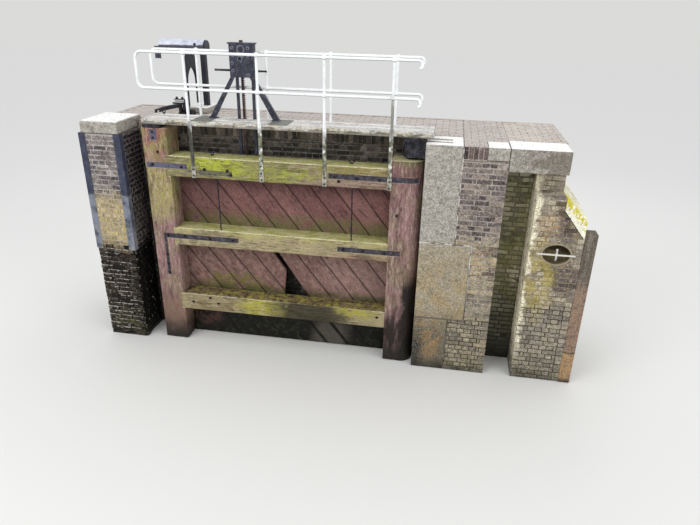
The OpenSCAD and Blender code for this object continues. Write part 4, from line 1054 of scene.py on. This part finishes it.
shoulderCut = {"Cut_Width": 0.344, "Cut_Low": 2.453, "Cut_High": 2.885}
endPier = {
    "brick": "pier brick", "mortar": "mortar", "slot": "brick", "seed": 91, "niche": 0,
    "core": [
        cut(prism([(1.833 + sink, 1.36), (2.594 - sink, 1.36), (2.594 - sink, 2.453), (2.25, 2.885 - sink),
                   (2.25, 3.084 - sink), (1.833 + sink, 3.084 - sink)], "Y", wallY + sink, backY - sink),
            prism(nicheOutline(), "Y", wallY - 0.05, wallY + nicheSize["deep"])),
        box((1.833 + sink, sink, 3.0785), (2.25 - sink, backY - sink, 3.4015)),
        box((1.833, 0.26, 3.402), (2.25 - sink, backY - sink, quayZ - sink)),
    ],
    "wornCore": [box((1.833 + 0.02, wallY + 0.02, 0), (2.594 - 0.02, backY - sink, 1.3595))],
    "faces": [
        (((1.833, wallY, 0), "X", "Y", "Z"),
         {"Width": 0.761, "Height": 3.084, "Left_Odd": corner, "Right_Odd": corner,
          "Worn_Below": 1.36, "Hollow": 0.012, **shoulderCut}),
        (((1.833, 0.26, 0), "-Y", "X", "Z"), {"Width": 0.56, "Height": 3.084, "Right_Even": corner}),
        (((1.833, 0.26, 3.084), "-Y", "X", "Z"), {"Width": 0.26, "Height": 0.318}),
        (((2.594, wallY, 0), "Y", "-X", "Z"), {"Width": 2.08, "Height": 2.453, "Left_Even": corner,
                                               "Right_Even": corner}),
        (((1.833, backY, 0), "X", "-Y", "Z"),
         {"Width": 0.761, "Height": 3.084, "Right_Odd": corner, **shoulderCut}),
        (((1.833, backY, 3.084), "X", "-Y", "Z"), {"Width": 0.417, "Height": 0.662}),
        (((1.833, 0, 3.084), "X", "Y", "Z"), {"Width": 0.417, "Height": 0.318}),
        (((1.833, wallY, 3.084), "X", "-Z", "Y"), {"Width": 0.417, "Height": 0.3, **paving}),
        (((2.25, 0, 3.084), "Y", "-X", "Z"), {"Width": 1.78, "Height": 0.662}),
        (((1.833, 0.26, quayZ), "X", "-Z", "Y"), {"Width": 0.417, "Height": 1.52, **paving}),
    ],
}
for name, node, settings in (
        ("leftPierBricks", "left_pier", leftPier), ("recessWallBricks", "recess_wall", recessWall),
        ("brickPierBricks", "brick_pier", brickPier), ("slotWallBricks", "slot_wall", slotWall),
        ("endPierBricks", "end_pier", endPier)):
    brickWall(name, node, settings)

# Mortar in the joints between the quoin stones and round the niche
stoneJoints = [((0.214, 2.230), (0.996, 2.247)), ((0.744, 2.247), (0.757, 3.70)),
               ((0.993, 0.948), (1.006, 2.247)), ((0.214, 0.932), (1.0, 0.947)),
               ((0.744, 0.02), (0.757, 0.932))]
meshes = [box((x0, wallY + 0.002, z0), (x1, wallY + 0.05, z1)) for (x0, z0), (x1, z1) in stoneJoints]
meshes.append(cut(prism(nicheOutline(nicheSize["ring"]), "Y", wallY + 0.001, wallY + 0.06),
                  prism(nicheOutline(0.006), "Y", wallY - 0.05, wallY + 0.1)))
jointMortar = painted(joined("jointMortar", meshes), finish["pale mortar"])
show("jointMortar", jointMortar, "root")
nicheBack = wallY + nicheSize["deep"]
lining = cut(prism(nicheOutline(-0.001), "Y", wallY + 0.012, nicheBack - 0.001),
             prism(nicheOutline(-0.005), "Y", wallY - 0.05, nicheBack - 0.006))
show("nicheLining", painted(lining, finish["niche lining"]), "root")
print("brick walls done")

# Stones
stoneWear = {"voxel": 0.014, "wear": [(3.0, 0.004), (11.0, 0.004), (36.0, 0.002)]}
for name, node, material in (
        ("leftCapstone", "left_capstone", "granite"), ("lowerQuoinStone", "lower_quoin_stone", "granite"),
        ("middleQuoinStone", "middle_quoin_stone", "granite"),
        ("upperQuoinStone", "upper_quoin_stone", "granite"),
        ("pierBlock", "pier_block", "granite"), ("lintelStone", "lintel", "granite"),
        ("winchBase", "winch_base", "granite"), ("shoulderStone", "shoulder_stone", "coping stone")):
    mesh = painted(roughened(bevelled(cleanCopy(node), 0.008), stoneWear), finish[material])
    show(name, mesh, "root", node)
print("stones done")

# Timber
timberEdge = {"posts": 0.010, "rails": 0.009, "boards": 0.008}
for name, node, material, body, edge in (
        ("mitrePostTimber", "mitre_post", "leaf post", "leaf", "posts"),
        ("heelPostTimber", "heel_post", "leaf post", "leaf", "posts"),
        ("topRailTimber", "top_rail", "leaf rail", "leaf", "rails"),
        ("upperMiddleRailTimber", "upper_middle_rail", "leaf rail", "leaf", "rails"),
        ("lowerMiddleRailTimber", "lower_middle_rail", "leaf rail", "leaf", "rails"),
        ("plankingBoards", "planking", "planking", "leaf", "boards"),
        ("deckStringerTimber", "deck_stringers", "deck plank", "leaf", "boards"),
        ("deckPlankBoards", "deck_planks", "deck plank", "leaf", "boards"),
        ("fenderTimber", "fender_post", "fender timber", "root", "posts")):
    mesh = toned(painted(bevelled(cleanCopy(node), timberEdge[edge]), finish[material]), len(name))
    show(name, mesh, body, node)
print("timber done")

# Nodes that keep their own shape
keptFinishes = {
    "black iron": ["neck_bearing", "pintle", "leaf_latch", "neck_pin", "tie_rods", "ring_bolts",
                   "deck_bearers", "crank_shaft"],
    "strap iron": ["leaf_straps"],
    "wall iron": ["wall_irons"],
    "charcoal paint": ["winch_trestle", "winch_column", "gear_housing", "gear_legs", "gear_posts"],
    "hub paint": ["gear_cover"],
    "hood steel": ["winch_hood"],
    "white paint": ["front_posts", "front_rails", "back_posts", "back_rails"],
    "plate steel": ["gear_plates"],
    "rack iron": ["paddle_rack"],
}
for material, nodes in keptFinishes.items():
    for node in nodes:
        for part in cad[node].material_slots:
            part.material = finish[material]
print("kept nodes dressed")


# Bolt heads: one tree sets a head on each point, facing along Aim
def boltTree():
    tree, given = geometryTree("boltHeads", [
        ("Points", "Geometry", None), ("Radius", "Float", 0.014), ("Height", "Float", 0.009),
        ("Sides", "Int", 6), ("Washer", "Float", 1.45),
        ("Aim", "Vector", (0.0, -1.0, 0.0)), ("Seed", "Int", 3), ("Finish", "Material", None)])
    washer = put(tree, "GeometryNodeMeshCylinder",
                 {"Vertices": 14, "Radius": calc(tree, "MULTIPLY", given["Radius"], given["Washer"]),
                  "Depth": calc(tree, "MULTIPLY", given["Height"], 0.5)})
    head = put(tree, "GeometryNodeMeshCylinder",
               {"Vertices": given["Sides"], "Radius": given["Radius"], "Depth": given["Height"]})
    lift = put(tree, "ShaderNodeCombineXYZ", {2: calc(tree, "MULTIPLY", given["Height"], 0.5)}).outputs[0]
    raised = put(tree, "GeometryNodeTransform", {"Geometry": head.outputs[0], "Translation": lift})
    both = put(tree, "GeometryNodeJoinGeometry")
    tree.links.new(washer.outputs[0], both.inputs[0])
    tree.links.new(raised.outputs[0], both.inputs[0])
    spin = put(tree, "FunctionNodeRandomValue", {2: 0.0, 3: 6.28, "Seed": given["Seed"]}).outputs[1]
    turn = put(tree, "ShaderNodeCombineXYZ", {2: spin}).outputs[0]
    aimed = put(tree, "FunctionNodeAlignEulerToVector", {"Rotation": turn, "Vector": given["Aim"]}, axis="Z")
    copies = put(tree, "GeometryNodeInstanceOnPoints",
                 {"Points": given["Points"], "Instance": both.outputs[0], "Rotation": aimed.outputs[0]})
    solid = put(tree, "GeometryNodeRealizeInstances", {0: copies.outputs[0]})
    dressed = put(tree, "GeometryNodeSetMaterial",
                  {"Geometry": solid.outputs[0], "Material": given["Finish"]})
    put(tree, "NodeGroupOutput", {0: dressed.outputs[0]})
    return tree


bolts = boltTree()


def boltHeads(points, material, radius, height, aim=(0.0, -1.0, 0.0), sides=6, washer=1.45):
    values = {"Radius": radius, "Height": height, "Aim": aim, "Sides": sides, "Washer": washer}
    return grow(bolts, {"Finish": finish[material], **values}, points)


def boltSet(points, radius, height, washerHighlightFinish="pale zinc"):  # dark heads on washers painted pale: a painted highlight round each head
    aim = (0.0, -1.0, 0.0)
    return [boltHeads(points, washerHighlightFinish, radius * 1.7, height * 0.4, aim, 14, 1.0),
            boltHeads(points, "bolt iron", radius, height, aim, washer=1.1)]


front = -0.2
gearFront = 0.095
postX = (-3.373, -2.269, -1.281, -0.293)
strapBolts = [(-4.06, 3.165), (-3.579, 3.146), (-3.2, 3.132), (-2.825, 3.131), (-2.771, 3.069),
              (-1.119, 3.148), (-0.783, 3.143), (-0.443, 3.142), (-1.062, 3.081), (-0.98, 1.968),
              (-0.66, 1.975), (-0.326, 1.96), (-3.93, 1.975), (-3.642, 1.982), (-3.205, 1.97),
              (-2.819, 1.968), (-3.985, 1.62), (-3.985, 1.453), (-3.985, 1.29)]
railBolts = [(-3.606, 0.76), (-3.29, 0.861), (-3.149, 0.767), (-3.95, 3.37), (-0.4, 0.8), (-0.16, 2.6)]
barBolts = [(x, z) for x in postX for z in (3.03, 3.13)]
gearBolts = [(-2.732, 4.916), (-2.492, 4.916), (-2.725, 4.815), (-2.503, 4.81), (-2.74, 4.598),
             (-2.506, 4.54), (-2.745, 4.70)]
leafBolts = [
    boltHeads([(x, front - 0.001, z) for x, z in strapBolts], "bolt iron", 0.018, 0.014),
    boltHeads([(x, front - 0.001, z) for x, z in railBolts], "bolt iron", 0.016, 0.014),
    *boltSet([(x, front - 0.017, z) for x, z in barBolts], 0.014, 0.012),
    boltHeads([(-4.0, front - 0.013, 3.68), (-4.0, front - 0.013, 3.59)], "bolt iron", 0.013, 0.010),
    *boltSet([(x, gearFront, z) for x, z in gearBolts], 0.014, 0.018, "washer steel"),
    boltHeads([(-2.623, gearFront, 4.77)], "washer steel", 0.038, 0.010, sides=20, washer=1.0),
    boltHeads([(-2.623, gearFront - 0.005, 4.77)], "bolt iron", 0.027, 0.014, sides=20, washer=1.0),
]
nailRows = [-0.17, -0.09, -0.04, 0.03, 0.09, 0.15, 0.22, 0.28]
nailPoints = [(-4.10 + 0.54 * i, y, 3.8765) for i in range(9) for y in nailRows]
leafBolts.append(boltHeads(nailPoints, "bolt iron", 0.006, 0.002, (0.0, 0.0, 1.0), 8, 1.0))
for x in postX:
    bar = box((x - 0.034, front - 0.017, 2.991), (x + 0.034, front, 3.172))
    leafBolts.append(painted(bevelled(bar, 0.003), finish["pale zinc"]))
show("leafBolts", joined("leafBolts", leafBolts), "leaf")
latchBlocks = [
    ((-4.03, 0.82, 3.746), (-3.87, 0.98, 3.80)), ((-4.0, 0.86, 3.80), (-3.9, 0.94, 3.88)),
    ((-4.01, 0.70, 3.746), (-3.97, 0.84, 3.79)), ((-3.90, 0.92, 3.746), (-3.80, 1.02, 3.83)),
    ((-3.945, 0.905, 3.875), (-3.865, 0.955, 4.013)), ((-4.12, 0.914, 3.966), (-3.88, 0.946, 3.980)),
    ((-4.13, 0.908, 3.996), (-3.87, 0.952, 4.010)), ((-4.0, 0.79, 3.80), (-3.965, 0.87, 3.90))]
leverMiddle = (-3.0502, 0.3378)  # the latch arm's own arc, for the web under it
leverArc = [math.radians(150 + 2.5 * i) for i in range(13)]
leverWeb = [(leverMiddle[0] + radius * math.cos(angle), leverMiddle[1] + radius * math.sin(angle))
            for radius, angles in ((1.074, leverArc), (1.048, leverArc[::-1])) for angle in angles]
quayBolts = [
    boltHeads([(-3.84, 1.296, 4.862)], "bolt iron", 0.016, 0.014, (0.0, -0.9, 0.43)),
    boltHeads([(-4.08, 0.93, 4.009), (-3.98, 0.93, 4.009)], "bolt iron", 0.018, 0.035, (0.0, 0.0, 1.0)),
    painted(bevelled(prism(leverWeb, "Z", 3.886, 3.927), 0.004), finish["black iron"]),
    *[painted(bevelled(box(low, high), 0.008), finish["black iron"]) for low, high in latchBlocks],
    boltHeads([(-3.995, 1.2895, z) for z in (4.76, 4.79)], "bolt iron", 0.011, 0.010),
    boltHeads([(-3.995, 1.5205, z) for z in (4.76, 4.79)], "bolt iron", 0.011, 0.010, (0.0, 1.0, 0.0)),
    boltHeads([(-4.51, 1.276, 4.79), (-4.51, 1.276, 4.66)], "bolt iron", 0.011, 0.008),
]
show("quayBolts", joined("quayBolts", quayBolts), "root")
print("bolts done")


# Camera, light and floor
photoView = {"place": (0.5043, -8.6356, 5.5821), "lens": 30.08,
             "yaw": 9.2185, "pitch": 24.1156, "roll": 1.1051}


def addCamera(settings):
    data = bpy.data.cameras.new("photoCamera")
    data.lens = settings["lens"]
    data.sensor_width = 36.0
    camera = bpy.data.objects.new("photoCamera", data)
    yaw, pitch, roll = (math.radians(settings[key]) for key in ("yaw", "pitch", "roll"))
    right = Vector((math.cos(yaw), math.sin(yaw), 0))
    level = Vector((-math.sin(yaw), math.cos(yaw), 0))
    ahead = math.cos(pitch) * level - math.sin(pitch) * Vector((0, 0, 1))
    up = right.cross(ahead)
    sideways = math.cos(roll) * right + math.sin(roll) * up
    upright = -math.sin(roll) * right + math.cos(roll) * up
    turn = Matrix((sideways, upright, -ahead)).transposed().to_4x4()
    camera.matrix_world = Matrix.Translation(settings["place"]) @ turn
    bpy.context.scene.collection.objects.link(camera)
    bpy.context.scene.camera = camera


addCamera(photoView)

studio = {"floor": (230, 229, 226), "size": 60.0, "sky": 0.92, "backdrop": (219, 219, 217),
          "lamps": [((-7, -9, 11), 520, 7.0), ((8, -7, 9), 220, 7.0), ((0, 9, 9), 200, 8.0)]}


def addStudio(settings):
    mesh = bpy.data.meshes.new("studioFloor")
    s = settings["size"]
    mesh.from_pydata([(-s, -s, 0), (s, -s, 0), (s, s, 0), (-s, s, 0)], [], [(0, 1, 2, 3)])
    floor = holder("studioFloor", mesh)
    paint = bpy.data.materials.new("floor paint")
    paint.use_nodes = True
    paint.node_tree.nodes["Principled BSDF"].inputs["Base Color"].default_value = linear(settings["floor"])
    paint.node_tree.nodes["Principled BSDF"].inputs["Roughness"].default_value = 0.9
    mesh.materials.append(paint)
    world = bpy.data.worlds.new("studioWorld")
    bpy.context.scene.world = world
    world.use_nodes = True
    tree = world.node_tree
    tree.nodes.clear()
    lit = put(tree, "ShaderNodeBackground", {"Color": (0.96, 0.98, 1.0, 1.0), "Strength": settings["sky"]})
    seen = put(tree, "ShaderNodeBackground", {"Color": linear(settings["backdrop"]), "Strength": 1.0})
    ray = put(tree, "ShaderNodeLightPath").outputs
    shown = calc(tree, "MAXIMUM", ray["Is Camera Ray"], ray["Is Glossy Ray"])
    mixed = put(tree, "ShaderNodeMixShader", {0: shown, 1: lit.outputs[0], 2: seen.outputs[0]})
    put(tree, "ShaderNodeOutputWorld", {"Surface": mixed.outputs[0]})
    for count, (place, power, size) in enumerate(settings["lamps"]):
        data = bpy.data.lights.new("softBox%d" % count, "AREA")
        data.energy = power
        data.size = size
        lamp = bpy.data.objects.new("softBox%d" % count, data)
        lamp.location = place
        toward = Vector((-1.2, 0.3, 2.0)) - Vector(place)
        lamp.rotation_euler = toward.to_track_quat("-Z", "Y").to_euler()
        bpy.context.scene.collection.objects.link(lamp)


addStudio(studio)
bpy.context.scene.view_settings.view_transform = "Standard"
bpy.data.objects.remove(mould)
